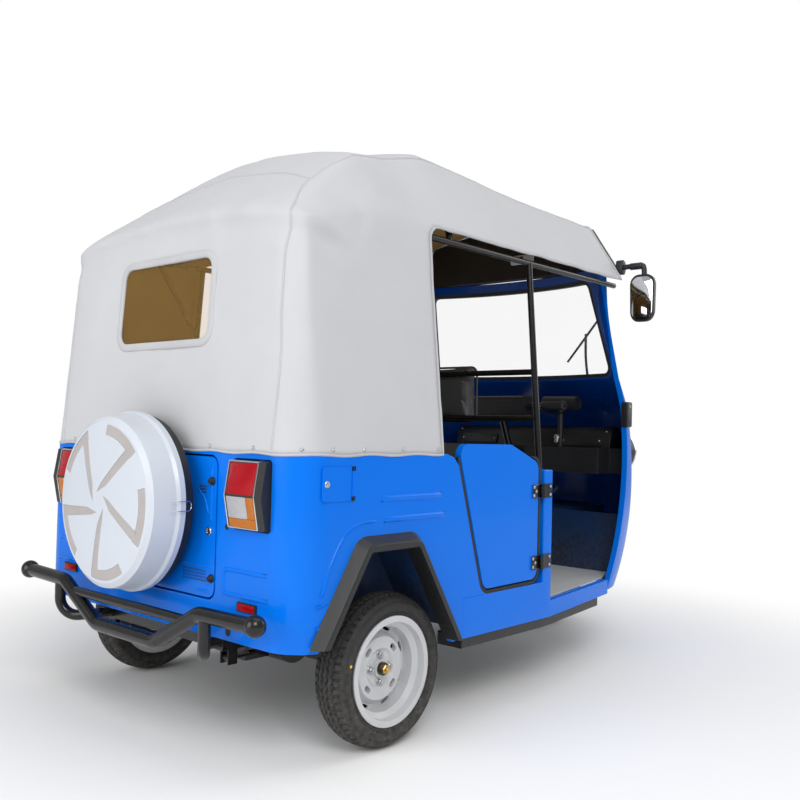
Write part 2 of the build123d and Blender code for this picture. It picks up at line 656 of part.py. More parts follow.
with BuildPart() as rubber_layer:
    add(cowl_solid(-3.0))
    add(cowl_solid(COWL_WALL - 4.0, stretch=20.0), mode=Mode.SUBTRACT)
with BuildPart() as rubber_seals:
    extrude(screen_sketch(), amount=800)
    extrude(screen_sketch(-SCREEN_RUBBER), amount=800, mode=Mode.SUBTRACT)
    add(rubber_layer.part, mode=Mode.INTERSECT)
    door_ring = door_sketch(DOOR_GAP + SEAL_WIDTH) - door_sketch(DOOR_GAP)
    for side in SIDES:
        y_low = BODY_HALF_WIDTH - BODY_WALL + 3 if side > 0 else -BODY_HALF_WIDTH + 1
        with BuildPart(mode=Mode.PRIVATE) as ring:
            extrude(Pos(0, y_low, 0) * door_ring, amount=BODY_WALL - 4)
            add_block((-800, -900, 880), (300, 900, 1100), mode=Mode.SUBTRACT)
        add(ring.part)
finish(rubber_seals.part, "rubber_seals")

def steer_point(height, ahead=0.0, y=0.0):
    """Point on the steering axis at a height above the ground, moved square to it."""
    rake = math.radians(RAKE)
    x = BAR_X + (BAR_Z - height) * math.tan(rake)
    return (x + ahead * math.cos(rake), y, height + ahead * math.sin(rake))


# Front wheelhouse with the toe board
with BuildPart() as front_wheelhouse:
    HOUSE_WALL = 5.0
    add_block((BULKHEAD_X - HOUSE_WALL, -640, SILL_BOTTOM + 20), (BULKHEAD_X, 640, WHEELHOUSE_TOP))
    add_block((BULKHEAD_X, -WHEELHOUSE_HALF, 345), (1400, WHEELHOUSE_HALF, WHEELHOUSE_TOP))
    add_block((BULKHEAD_X, -WHEELHOUSE_HALF + HOUSE_WALL, 300), (1410, WHEELHOUSE_HALF - HOUSE_WALL, WHEELHOUSE_TOP - HOUSE_WALL), mode=Mode.SUBTRACT)
    add(cowl_solid(COWL_WALL + SEAT_GAP), mode=Mode.INTERSECT)
    add_rod(steer_point(HEAD_TUBE_Z[0]), steer_point(HEAD_TUBE_Z[1]), HEAD_TUBE_RADIUS)
    add_rod(steer_point(450), steer_point(900), COLUMN_RADIUS + BEARING_PLAY, mode=Mode.SUBTRACT)
finish(front_wheelhouse.part, "front_wheelhouse")


# Steering: column, crown, fork legs, axle and handlebar
rake = math.radians(RAKE)
UP = Vector(-math.sin(rake), 0, math.cos(rake))
axle_point = Vector(FRONT_AXLE_X, 0, TYRE_RADIUS)


def bar_point(y):
    """Point on the handlebar's swept outer run."""
    along = (abs(y) - BAR_STRAIGHT) / (BAR_HALF - BAR_STRAIGHT)
    return (BAR_X - BAR_SWEEP * along, y, BAR_Z + BAR_RISE * along)


def bar_path(reach):
    """Handlebar's centre line out to a reach on both sides."""
    turns = (-BAR_STRAIGHT, BAR_STRAIGHT)
    return [bar_point(y) for y in (-reach, *turns, reach)]


crown_point = axle_point + UP * CROWN_HEIGHT
with BuildPart() as front_fork:
    for side in SIDES:
        offset_y = Vector(0, side * FORK_LEG_Y, 0)
        add_rod(tuple(axle_point + offset_y - UP * 25), tuple(crown_point + offset_y), FORK_LEG_RADIUS)
    add_rod((FRONT_AXLE_X, -FORK_LEG_Y - 12, TYRE_RADIUS), (FRONT_AXLE_X, FORK_LEG_Y + 12, TYRE_RADIUS), FRONT_AXLE_RADIUS)
    with BuildSketch(Plane(origin=crown_point - UP * 14, x_dir=(0, 1, 0), z_dir=UP)) as crown:
        RectangleRounded(2 * FORK_LEG_Y + 50, 50, 20)
        with Locations((0, 34)):
            RectangleRounded(70, 100, 20)
    extrude(crown.sketch, amount=30)
    add_rod(steer_point(COLUMN_FOOT_Z), steer_point(BAR_Z), COLUMN_RADIUS)
    add_tube_path(bar_path(BAR_HALF), [60, 60], BAR_RADIUS)
    add_tube_path(bar_path(GRIP_INNER_Y), [60, 60], BAR_MIDDLE_RADIUS)
finish(front_fork.part, "front_fork")

with BuildPart() as handlebar_shroud:
    add_block((BAR_X - 55, -165, BAR_Z - 45), (BAR_X + 60, 165, BAR_Z + 48))
    fillet(handlebar_shroud.edges().filter_by(Axis.Y), 25)
    add_tube_path(bar_path(GRIP_INNER_Y), [60, 60], BAR_MIDDLE_RADIUS + SHROUD_WALL)
    add_tube_path(bar_path(GRIP_INNER_Y), [60, 60], BAR_MIDDLE_RADIUS, mode=Mode.SUBTRACT)
    add_rod(steer_point(BAR_Z - 80), steer_point(BAR_Z), COLUMN_RADIUS, mode=Mode.SUBTRACT)
finish(handlebar_shroud.part, "handlebar_shroud")

# Front mudguard: an arched channel over the tyre
with BuildPart() as front_mudguard:
    GUARD_WALL = 4.0
    with BuildSketch(Plane.XZ.offset(-MUDGUARD_HALF)) as arc_plate:
        Circle(MUDGUARD_RADIUS)
        Circle(MUDGUARD_RADIUS - 38, mode=Mode.SUBTRACT)
    extrude(arc_plate.sketch, amount=2 * MUDGUARD_HALF)
    with BuildSketch(Plane.XZ.offset(-MUDGUARD_HALF + GUARD_WALL)) as hollow:
        Circle(MUDGUARD_RADIUS - GUARD_WALL)
        Circle(MUDGUARD_RADIUS - 60, mode=Mode.SUBTRACT)
    extrude(hollow.sketch, amount=2 * (MUDGUARD_HALF - GUARD_WALL), mode=Mode.SUBTRACT)
    with BuildSketch(Plane.XZ.offset(-MUDGUARD_HALF - 5)) as lower_cut:
        with BuildLine():
            Polyline((0, 0), (600, -40), (600, -600), (-600, -600), (-600, -100), close=True)
        make_face()
    extrude(lower_cut.sketch, amount=2 * MUDGUARD_HALF + 10, mode=Mode.SUBTRACT)
    add_rod(tuple(UP * (MUDGUARD_RADIUS - GUARD_WALL)), tuple(UP * (CROWN_HEIGHT - 14 - SEAT_GAP)), 14)
finish(Pos(FRONT_AXLE_X, 0, TYRE_RADIUS) * front_mudguard.part, "front_mudguard")

# Headlamps
with BuildPart() as lamp_housings:
    for side in SIDES:
        y = side * LAMP_Y
        add_rod((LAMP_X[0], y, LAMP_Z), (LAMP_X[1], y, LAMP_Z), LAMP_RADIUS)
        add_rod((LAMP_X[1] - 12, y, LAMP_Z), (LAMP_X[1] + 5, y, LAMP_Z), LAMP_RADIUS - 10, mode=Mode.SUBTRACT)
finish(lamp_housings.part, "lamp_housings")

with BuildPart() as headlamp_lenses:
    for side in SIDES:
        y = side * LAMP_Y
        add_rod((LAMP_X[1] - 12, y, LAMP_Z), (LAMP_X[1] - 2, y, LAMP_Z), LAMP_RADIUS - 10)
finish(headlamp_lenses.part, "headlamp_lenses")

# Dashboard with a glove box on each side of the column
DASH_X = (800.0, 985.0)
DASH_Z = (785.0, 900.0)
with BuildPart() as dashboard:
    for side in SIDES:
        low_y, high_y = sorted((side * 70.0, side * 470.0))
        add_block((DASH_X[0], low_y, DASH_Z[0]), (DASH_X[1], high_y, DASH_Z[1]))
        low_y, high_y = sorted((side * 70.0, side * 640.0))
        add_block((DASH_X[0] + 100, low_y, DASH_Z[0]), (DASH_X[1], high_y, DASH_Z[1]))
    add_block((DASH_X[0] + 110, -120, DASH_Z[0]), (DASH_X[1], 120, DASH_Z[1]))
    add(cowl_solid(COWL_WALL + SEAT_GAP), mode=Mode.INTERSECT)
finish(dashboard.part, "dashboard")

with BuildPart() as instrument_pod:
    add_rod((850, -330, 1105), (850, -150, 1105), 34)
    add_rod((850, -240, DASH_Z[1]), (850, -240, 1105), 14)
finish(instrument_pod.part, "instrument_pod")

# Wiper on the windscreen
with BuildPart() as wiper:
    add_rod((905, -300, 1150), (1020, -300, 1215), 11)
    add(cowl_outer, mode=Mode.SUBTRACT)
finish(wiper.part, "wiper")


# Canopy over steel bows
CANOPY_ROWS = (
    # x, eave half width, eave z, seam half width, seam z, crown z
    (-1225.0, EAVE[0], 1550.0, 560.0, 1562.0, 1590.0),
    (-1010.0, EAVE[0], 1600.0, 530.0, 1712.0, 1765.0),
    (-810.0, EAVE[0], EAVE[1], 470.0, 1855.0, 1912.0),
    (-455.0, EAVE[0], EAVE[1], 450.0, 1936.0, 1990.0),
    (CANOPY_FRONT_X, EAVE[0] - 8.0, EAVE[1], 450.0, 1892.0, 1946.0),
)
HEM_HALF = BODY_HALF_WIDTH


def canopy_section(row, inset, x_shift=0.0, low=0.0):
    """Cross-section of the canopy at one bow."""
    x, eave_y, eave_z, seam_y, seam_z, crown_z = row
    slope = Vector(eave_y - seam_y, seam_z - eave_z).normalized()
    with BuildSketch(Plane.YZ.offset(x + x_shift)) as sketch:
        hem = (HEM_HALF - inset, HEM_Z - low)
        eave = (eave_y - inset, eave_z - 0.3 * inset)
        seam = (seam_y - inset * slope.Y * 0.8, seam_z - inset)
        crown = (0, crown_z - inset)
        with BuildLine():
            Line(hem, eave)
            Line(eave, seam)
            ThreePointArc(seam, crown, (-seam[0], seam[1]))
            Line((-seam[0], seam[1]), (-eave[0], eave[1]))
            Line((-eave[0], eave[1]), (-hem[0], hem[1]))
            Line((-hem[0], hem[1]), hem)
        make_face()
    return sketch.sketch


def canopy_solid(inset, low=0.0, front=0.0):
    """Solid under the canopy's skin, inset from the outside."""
    rows = [canopy_section(row, inset, 0.0, low) for row in CANOPY_ROWS]
    plans = [
        plan_u_sketch(HEM_Z - low, BODY_REAR_X, HEM_HALF, BODY_CORNER, inset, 900.0),
        plan_u_sketch(2050.0, CANOPY_REAR_TOP_X + 24.0, HEM_HALF - 40, CANOPY_CORNER_TOP + 30, inset, 900.0),
    ]
    with BuildPart() as plan_solid:
        loft(plans)
    with BuildPart() as solid:
        loft(rows, ruled=True)
        if front:
            extrude(canopy_section(CANOPY_ROWS[-1], inset, 0.0, low), amount=front)
        add(plan_solid.part, mode=Mode.INTERSECT)
    return solid.part


with BuildPart() as canopy:
    add(canopy_solid(0.0))
    add(canopy_solid(CANOPY_WALL, low=1.0, front=10.0), mode=Mode.SUBTRACT)
    with BuildSketch(side_plane(-900)) as side_opening:
        with BuildLine():
            FilletPolyline(
                (-OPENING_REAR_X, 800), (-OPENING_REAR_X, OPENING_TOP), (-900, OPENING_TOP),
                radius=OPENING_CORNER,
            )
            Polyline((-900, OPENING_TOP), (-900, 800), (-OPENING_REAR_X, 800))
        make_face()
    extrude(side_opening.sketch, amount=1800, mode=Mode.SUBTRACT)
    with BuildSketch(Plane.YZ.offset(BODY_REAR_X - 50)) as window:
        with Locations((0, (WINDOW_TOP + WINDOW_BOTTOM) / 2)):
            RectangleRounded(2 * WINDOW_HALF_WIDTH, WINDOW_TOP - WINDOW_BOTTOM, WINDOW_CORNER)
    extrude(window.sketch, amount=200, mode=Mode.SUBTRACT)
finish(canopy.part, "canopy")

with BuildPart() as rear_window:
    extrude(window.sketch, amount=200)
    add(canopy_solid(2.5), mode=Mode.INTERSECT)
    add(canopy_solid(5.5, low=1.0), mode=Mode.SUBTRACT)
finish(rear_window.part, "rear_window")

# Hood frame: bows under the canopy, side rails, posts and the backrest frame
BOW_INSET = CANOPY_WALL + TUBE + 2.0
BOW_STATIONS = (2, 3)
with BuildPart() as hood_frame:
    for index in BOW_STATIONS:
        x, eave_y, eave_z, seam_y, seam_z, crown_z = CANOPY_ROWS[index]
        ey, sy = eave_y - BOW_INSET - 4, seam_y - BOW_INSET
        ez, sz, cz = OPENING_TOP, seam_z - BOW_INSET - 2, crown_z - BOW_INSET - 2
        add_tube_path(
            [(x, ey, ez - 30), (x, ey, ez), (x, sy, sz), (x, 0, cz), (x, -sy, sz), (x, -ey, ez), (x, -ey, ez - 30)],
            [14, 40, 200, 40, 14],
            TUBE,
        )
    for side in SIDES:
        y = side * (EAVE[0] - BOW_INSET - 4)
        rail_z = OPENING_TOP - 30
        wall_y = side * (BODY_HALF_WIDTH - BODY_WALL - TUBE - SEAT_GAP)
        add_rod((-875, y, rail_z), (690, y, rail_z), TUBE)
        add_tube_path([(-604, wall_y, 700), (-604, wall_y, HEM_Z), (-604, y, rail_z)], [300], TUBE)
        add_rod((32, side * (BODY_HALF_WIDTH - 42), POST_TOP + 1.3), (32, y, rail_z), TUBE + 1)
        add_rod((-604, side * 625, 1330), (-820, y, rail_z), TUBE - 3)
    for z in (1018.0, 1195.0):
        half = BODY_HALF_WIDTH - 42 - (z - POST_TOP) * 0.079
        add_rod((32, -half, z), (32, half, z), TUBE)
finish(hood_frame.part, "hood_frame")

# Roof header over the windscreen, closing the canopy's front end
HEADER_DEPTH = 45.0
HEADER_INSET = 3.0
with BuildPart() as roof_header:
    front_x, eave_y, eave_z, seam_y, seam_z, crown_z = CANOPY_ROWS[-1]
    foot_z = COWL_TOP + SEAT_GAP
    foot_y = eave_y - HEADER_INSET - (foot_z - eave_z) * (eave_y - seam_y) / (seam_z - eave_z)
    with BuildSketch(Plane.YZ.offset(front_x + SEAT_GAP)) as header_face:
        with BuildLine():
            Line((foot_y, foot_z), (seam_y - HEADER_INSET, seam_z - HEADER_INSET))
            ThreePointArc(
                (seam_y - HEADER_INSET, seam_z - HEADER_INSET),
                (0, crown_z - HEADER_INSET),
                (-seam_y + HEADER_INSET, seam_z - HEADER_INSET),
            )
            Line((-seam_y + HEADER_INSET, seam_z - HEADER_INSET), (-foot_y, foot_z))
            Line((-foot_y, foot_z), (foot_y, foot_z))
        make_face()
    extrude(header_face.sketch, amount=HEADER_DEPTH)
finish(roof_header.part, "roof_header")

# Seat boxes, the partition behind the driver, and the battery block
with BuildPart() as seat_boxes:
    BOX_WALL = 4.0
    add_block((POST_FRONT_X + 1, -600, FLOOR_TOP), (POST_FRONT_X + 20, 600, PARTITION_TOP))
    add_block((DRIVER_SEAT_X[0] + 20, -DRIVER_SEAT_HALF + 25, FLOOR_TOP), (DRIVER_SEAT_X[1] - 30, DRIVER_SEAT_HALF - 25, DRIVER_SEAT_Z[0] - SEAT_GAP))
    add_block((BENCH_X[0] + 5, -HOUSING_INNER_Y + 2, FLOOR_TOP), (BENCH_X[1] - 25, HOUSING_INNER_Y - 2, BENCH_Z[0] - SEAT_GAP))
    add_block((BENCH_X[0] + 5 + BOX_WALL, -HOUSING_INNER_Y + 2 + BOX_WALL, FLOOR_TOP), (BENCH_X[1] - 25 - BOX_WALL, HOUSING_INNER_Y - 2 - BOX_WALL, BENCH_Z[0] - BOX_WALL), mode=Mode.SUBTRACT)
finish(seat_boxes.part, "seat_boxes")

with BuildPart() as battery_box:
    add_block((-860, -400, FLOOR_TOP), (-560, 400, 600))
finish(battery_box.part, "battery_box")

CUSHIONS = (
    # name, low corner, high corner, edge rounding
    ("driver_cushion", (DRIVER_SEAT_X[0], -DRIVER_SEAT_HALF, DRIVER_SEAT_Z[0]), (DRIVER_SEAT_X[1], DRIVER_SEAT_HALF, DRIVER_SEAT_Z[1]), 25.0),
    ("driver_backrest", (32 + TUBE + SEAT_GAP, -DRIVER_SEAT_HALF, DRIVER_BACK_Z[0]), (104, DRIVER_SEAT_HALF, DRIVER_BACK_Z[1]), 20.0),
    ("bench_cushion", (BENCH_X[0], -BENCH_HALF, BENCH_Z[0]), (BENCH_X[1], BENCH_HALF, BENCH_Z[1]), 30.0),
    ("bench_backrest", (BENCH_X[0] - 90, -600, BENCH_Z[0]), (BENCH_X[0] - SEAT_GAP, 600, BENCH_BACK_TOP), 25.0),
)
for name, low, high, rounding in CUSHIONS:
    with BuildPart() as cushion:
        add_block(low, high)
        fillet(cushion.edges(), rounding)
    finish(cushion.part, name)

# Doors, with the hinge leaf and barrels along the front edge
for side, hand in ((-1, "right"), (1, "left")):
    with BuildPart() as door:
        y_low = BODY_HALF_WIDTH - DOOR_THICK if side > 0 else -BODY_HALF_WIDTH
        extrude(Pos(0, y_low, 0) * door_sketch(), amount=DOOR_THICK)
        for z in DOOR_HINGE_HEIGHTS:
            leaf_low = BODY_HALF_WIDTH if side > 0 else -BODY_HALF_WIDTH - 3
            add_block((DOOR_HINGE_X - 60, leaf_low, z - HINGE_HEIGHT / 2), (DOOR_HINGE_X, leaf_low + 3, z + HINGE_HEIGHT / 2))
            add_rod((DOOR_HINGE_X, side * DOOR_HINGE_Y, z - HINGE_HEIGHT / 4), (DOOR_HINGE_X, side * DOOR_HINGE_Y, z + HINGE_HEIGHT / 4), HINGE_BARREL)
            add_rod((DOOR_HINGE_X, side * DOOR_HINGE_Y, z - HINGE_HEIGHT), (DOOR_HINGE_X, side * DOOR_HINGE_Y, z + HINGE_HEIGHT), HINGE_PIN + BEARING_PLAY, mode=Mode.SUBTRACT)
            for end in (-1, 1):
                z0, z1 = sorted((z + end * (HINGE_HEIGHT / 4 - 0.01), z + end * (HINGE_HEIGHT / 2 + 2)))
                add_block((DOOR_HINGE_X - 12, side * DOOR_HINGE_Y - 13, z0), (DOOR_HINGE_X + 12, side * DOOR_HINGE_Y + 13, z1), mode=Mode.SUBTRACT)
    finish(door.part, f"door_{hand}")

# Fixed halves of the door hinges: leaf on the post, two knuckles and the pin
with BuildPart() as door_hinges:
    for side in SIDES:
        y = side * DOOR_HINGE_Y
        for z in DOOR_HINGE_HEIGHTS:
            low_y, high_y = sorted((side * BODY_HALF_WIDTH, side * (BODY_HALF_WIDTH + 4)))
            add_block((DOOR_HINGE_X + 14, low_y, z - HINGE_HEIGHT / 2), (POST_FRONT_X - 8, high_y, z + HINGE_HEIGHT / 2))
            for end in (-1, 1):
                z0 = z + end * (HINGE_HEIGHT / 4 + 1.0)
                z1 = z + end * HINGE_HEIGHT / 2
                low_z, high_z = sorted((z0, z1))
                add_rod((DOOR_HINGE_X, y, low_z), (DOOR_HINGE_X, y, high_z), HINGE_BARREL)
                add_block((DOOR_HINGE_X, y - 3, low_z), (DOOR_HINGE_X + 24, y + 3, high_z))
                low_y2, high_y2 = sorted((side * BODY_HALF_WIDTH, y))
                add_block((DOOR_HINGE_X + 14, low_y2, low_z), (DOOR_HINGE_X + 24, high_y2, high_z))
            add_rod((DOOR_HINGE_X, y, z - HINGE_HEIGHT / 2), (DOOR_HINGE_X, y, z + HINGE_HEIGHT / 2), HINGE_PIN)
    for low_z, high_z in (
        (FLAP_Z[0], FLAP_Z[0] + FLAP_KNUCKLE - FLAP_PLAY),
        (FLAP_Z[1] - FLAP_KNUCKLE + FLAP_PLAY, FLAP_Z[1]),
    ):
        add_rod((FLAP_HINGE_X, -FLAP_HINGE_Y, low_z), (FLAP_HINGE_X, -FLAP_HINGE_Y, high_z), FLAP_BARREL)
        add_block((FLAP_HINGE_X, -FLAP_HINGE_Y, low_z), (FLAP_HINGE_X + FLAP_BARREL, -BODY_HALF_WIDTH, high_z))
        add_block(
            (FLAP_HINGE_X, -BODY_HALF_WIDTH - 1.5, low_z),
            (FLAP_HINGE_X + 14.0, -BODY_HALF_WIDTH, high_z),
        )
finish(door_hinges.part, "door_hinges")

# Rear hatch with the spare wheel's boss and the plate bracket
with BuildPart() as rear_hatch:
    with BuildSketch(Plane.YZ.offset(BODY_REAR_X)) as panel:
        with Locations((0, (HATCH_TOP + HATCH_BOTTOM) / 2)):
            RectangleRounded(2 * HATCH_HALF_WIDTH, HATCH_TOP - HATCH_BOTTOM, HATCH_CORNER)
    extrude(panel.sketch, amount=BODY_WALL)
    add_rod((BODY_REAR_X, 0, SPARE_Z), (SPARE_PAN_X, 0, SPARE_Z), 90)
    for z in HATCH_HINGE_HEIGHTS:
        add_block((BODY_REAR_X - 4, HATCH_HALF_WIDTH - 60, z - 30), (BODY_REAR_X, HATCH_HALF_WIDTH, z + 30))
        add_block((BODY_REAR_X - 12, HATCH_HALF_WIDTH - 12, z - 14), (BODY_REAR_X, HATCH_HALF_WIDTH - 2, z + 14))
        add_rod((HATCH_HINGE_X, HATCH_HINGE_Y, z - 14), (HATCH_HINGE_X, HATCH_HINGE_Y, z + 14), HINGE_BARREL)
        add_block((HATCH_HINGE_X - 3, HATCH_HALF_WIDTH - 12, z - 14), (HATCH_HINGE_X + 3, HATCH_HINGE_Y, z + 14))
        add_rod((HATCH_HINGE_X, HATCH_HINGE_Y, z - 40), (HATCH_HINGE_X, HATCH_HINGE_Y, z + 40), HINGE_PIN + BEARING_PLAY, mode=Mode.SUBTRACT)
finish(rear_hatch.part, "rear_hatch")

with BuildPart() as hatch_hinges:
    for z in HATCH_HINGE_HEIGHTS:
        add_rod((HATCH_HINGE_X, HATCH_HINGE_Y, z - 30), (HATCH_HINGE_X, HATCH_HINGE_Y, z + 30), HINGE_PIN)
        for end in (-1, 1):
            low_z, high_z = sorted((z + end * 15, z + end * 30))
            add_rod((HATCH_HINGE_X, HATCH_HINGE_Y, low_z), (HATCH_HINGE_X, HATCH_HINGE_Y, high_z), HINGE_BARREL)
            add_block((HATCH_HINGE_X, HATCH_HINGE_Y, low_z), (BODY_REAR_X, HATCH_HINGE_Y + 18, high_z))
        add_block((BODY_REAR_X - 4, HATCH_HINGE_Y + 11, z - 30), (BODY_REAR_X, HATCH_HINGE_Y + 55, z + 30))
finish(hatch_hinges.part, "hatch_hinges")

with BuildPart() as spare_pan:
    add_rod((SPARE_PAN_X, 0, SPARE_Z), (SPARE_RIM_X + 2, 0, SPARE_Z), SPARE_PAN_RADIUS)
    add_rod((SPARE_RIM_X + 2, 0, SPARE_Z), (SPARE_RIM_X - 8, 0, SPARE_Z), SPARE_RIM_RADIUS - COVER_WALL - SEAT_GAP)
finish(spare_pan.part, "spare_pan")

# Cover of the spare wheel, with five grooves that run outwards and hook along the rim
COVER_HUB = 42.0
ARM_COUNT = 5
ARM_TURN = -7.0
ARM_DEPTH = 2.5
ARM_SPOKE = ((22.0, 24.0), (56.0, 16.0), (200.0, -46.0), (206.0, -86.0), (64.0, -14.0))
ARM_HOOK = (206.0, 238.0)
ARM_HOOK_ENDS = (-23.0, 21.0)
with BuildSketch() as arm:
    for radius, mode in ((ARM_HOOK[1], Mode.ADD), (ARM_HOOK[0], Mode.SUBTRACT)):
        Circle(radius, mode=mode)
    rays = [(2 * SPARE_FACE_RADIUS * math.cos(math.radians(a)), 2 * SPARE_FACE_RADIUS * math.sin(math.radians(a)))
            for a in ARM_HOOK_ENDS]
    Polygon((0, 0), *rays, align=None, mode=Mode.INTERSECT)
    Polygon(*ARM_SPOKE, align=None)

with BuildPart() as spare_cover:
    with BuildSketch(Plane.XZ) as section:
        with BuildLine() as outline:
            apex_x = SPARE_FACE_X - SPARE_DOME
            shoulder = (SPARE_FACE_X, SPARE_FACE_RADIUS - 12)
            inner_shoulder = (SPARE_FACE_X + COVER_WALL, SPARE_FACE_RADIUS - 13)
            middle = ((SPARE_FACE_RADIUS + COVER_HUB) / 2, SPARE_DOME * 0.25)
            Polyline(
                inner_shoulder,
                (SPARE_FACE_X + 14, SPARE_FACE_RADIUS + 4 - COVER_WALL),
                (SPARE_RIM_X - 20, SPARE_RIM_RADIUS - 7 - COVER_WALL),
                (SPARE_RIM_X - 11, SPARE_RIM_RADIUS - COVER_WALL),
                (SPARE_RIM_X + 6, SPARE_RIM_RADIUS - COVER_WALL),
                (SPARE_RIM_X + 6, SPARE_RIM_RADIUS),
                (SPARE_RIM_X - 12, SPARE_RIM_RADIUS),
                (SPARE_RIM_X - 22, SPARE_RIM_RADIUS - 7),
                (SPARE_FACE_X + 12, SPARE_FACE_RADIUS + 4),
                shoulder,
            )
            ThreePointArc(shoulder, (apex_x + middle[1], middle[0]), (apex_x, COVER_HUB))
            Polyline(
                (apex_x, COVER_HUB), (apex_x, 0), (apex_x + COVER_WALL, 0),
                (apex_x + COVER_WALL, COVER_HUB),
            )
            ThreePointArc(
                (apex_x + COVER_WALL, COVER_HUB),
                (apex_x + middle[1] + COVER_WALL, middle[0]),
                inner_shoulder,
            )
        make_face()
    revolve(section.sketch, axis=Axis.X)
    with BuildSketch(Plane.XZ) as groove_floor:
        with BuildLine():
            floor_apex = (apex_x + ARM_DEPTH, COVER_HUB)
            floor_edge = (SPARE_FACE_X + ARM_DEPTH, shoulder[1])
            ThreePointArc(floor_edge, (apex_x + middle[1] + ARM_DEPTH, middle[0]), floor_apex)
            Polyline(floor_apex, (floor_apex[0], 0), (SPARE_RIM_X, 0), (SPARE_RIM_X, shoulder[1]), floor_edge)
        make_face()
    with BuildPart(mode=Mode.PRIVATE) as grooves:
        seen_from_behind = Plane(origin=(apex_x - 1, 0, 0), x_dir=(0, -1, 0), z_dir=(-1, 0, 0))
        with BuildSketch(seen_from_behind) as arms:
            with PolarLocations(0, ARM_COUNT, start_angle=ARM_TURN):
                add(arm.sketch)
        extrude(arms.sketch, amount=-(SPARE_DOME + 12))
        revolve(groove_floor.sketch, axis=Axis.X, mode=Mode.SUBTRACT)
    add(grooves.part, mode=Mode.SUBTRACT)
finish(Pos(0, 0, SPARE_Z) * spare_cover.part, "spare_cover")

# Rear bumper tube with its dip below the spare, feet and end caps
with BuildPart() as rear_bumper:
    add_tube_path(
        [
            (BUMPER_X, -BUMPER_HALF, BUMPER_Z + 5), (BUMPER_X, -380, BUMPER_Z),
            (BUMPER_X, -167, BUMPER_DIP_Z), (BUMPER_X, 167, BUMPER_DIP_Z),
            (BUMPER_X, 380, BUMPER_Z), (BUMPER_X, BUMPER_HALF, BUMPER_Z + 5),
        ],
        [70, 70, 70, 70],
        BUMPER_RADIUS,
    )
    add_rod((BUMPER_X, -310, 402), (BUMPER_X, 310, 402), 15)
    for side in SIDES:
        with Locations((BUMPER_X, side * BUMPER_HALF, BUMPER_Z + 5)):
            Sphere(31)
        add_tube_path(
            [
                (BUMPER_X, side * 410, BUMPER_Z), (BUMPER_X, side * 410, 300),
                (RAIL_X[0] - 55, side * RAIL_Y, 317), (RAIL_X[0] - SEAT_GAP, side * RAIL_Y, 317),
            ],
            [60, 22],
            18,
        )
finish(rear_bumper.part, "rear_bumper")

# Tail lamps and reflectors
TAIL_Y = (420.0, 582.0)
TAIL_Z = (673.0, 872.0)
with BuildPart() as rear_lenses:
    for side in SIDES:
        low_y, high_y = sorted((side * TAIL_Y[0], side * TAIL_Y[1]))
        with BuildSketch(side_plane(low_y)) as wedge:
            with BuildLine():
                Polyline((-BODY_REAR_X, TAIL_Z[0]), (-BODY_REAR_X + 18, TAIL_Z[0] + 4), (-BODY_REAR_X + 36, 770), (-BODY_REAR_X + 20, TAIL_Z[1] - 4), (-BODY_REAR_X, TAIL_Z[1]), close=True)
            make_face()
        extrude(wedge.sketch, amount=high_y - low_y)
        low_y, high_y = sorted((side * 451.0, side * 536.0))
        add_block((BODY_REAR_X - 6, low_y, 438), (BODY_REAR_X, high_y, 466))
finish(rear_lenses.part, "rear_lenses")

# Mirrors on the pillars
with BuildPart() as mirrors:
    for side in SIDES:
        low_y, high_y = sorted((side * 650, side * 768))
        add_block((725, low_y, 1452), (765, high_y, 1655))
        add_tube_path(
            [(742, side * 579.8, 1697), (742, side * 710, 1697), (744, side * 712, 1640)],
            [20],
            7,
        )
finish(mirrors.part, "mirrors")

# Charging flap in the right-hand side, with a rolled barrel along its front edge
with BuildPart() as charge_flap:
    add_block(
        (FLAP_REAR_X, -BODY_HALF_WIDTH - FLAP_THICK, FLAP_Z[0]),
        (FLAP_HINGE_X - FLAP_BARREL - FLAP_PLAY, -BODY_HALF_WIDTH, FLAP_Z[1]),
    )
    corners = charge_flap.edges().filter_by(Axis.Y).group_by(Axis.X)[0]
    fillet(corners, FLAP_CORNER)
    add_block(
        (FLAP_HINGE_X - FLAP_BARREL - FLAP_PLAY, -BODY_HALF_WIDTH - FLAP_THICK, FLAP_Z[0] + FLAP_KNUCKLE),
        (FLAP_HINGE_X, -BODY_HALF_WIDTH - 1.0, FLAP_Z[1] - FLAP_KNUCKLE),
    )
    add_rod(
        (FLAP_HINGE_X, -FLAP_HINGE_Y, FLAP_Z[0] + FLAP_KNUCKLE),
        (FLAP_HINGE_X, -FLAP_HINGE_Y, FLAP_Z[1] - FLAP_KNUCKLE),
        FLAP_BARREL,
    )
finish(charge_flap.part, "charge_flap")
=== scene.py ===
"""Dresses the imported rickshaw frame: canvas hood, padded seats, tyres, trim, lamps and finishes."""

import json
import math

import bmesh
import bpy
from mathutils import Matrix, Vector, noise
from mathutils.bvhtree import BVHTree

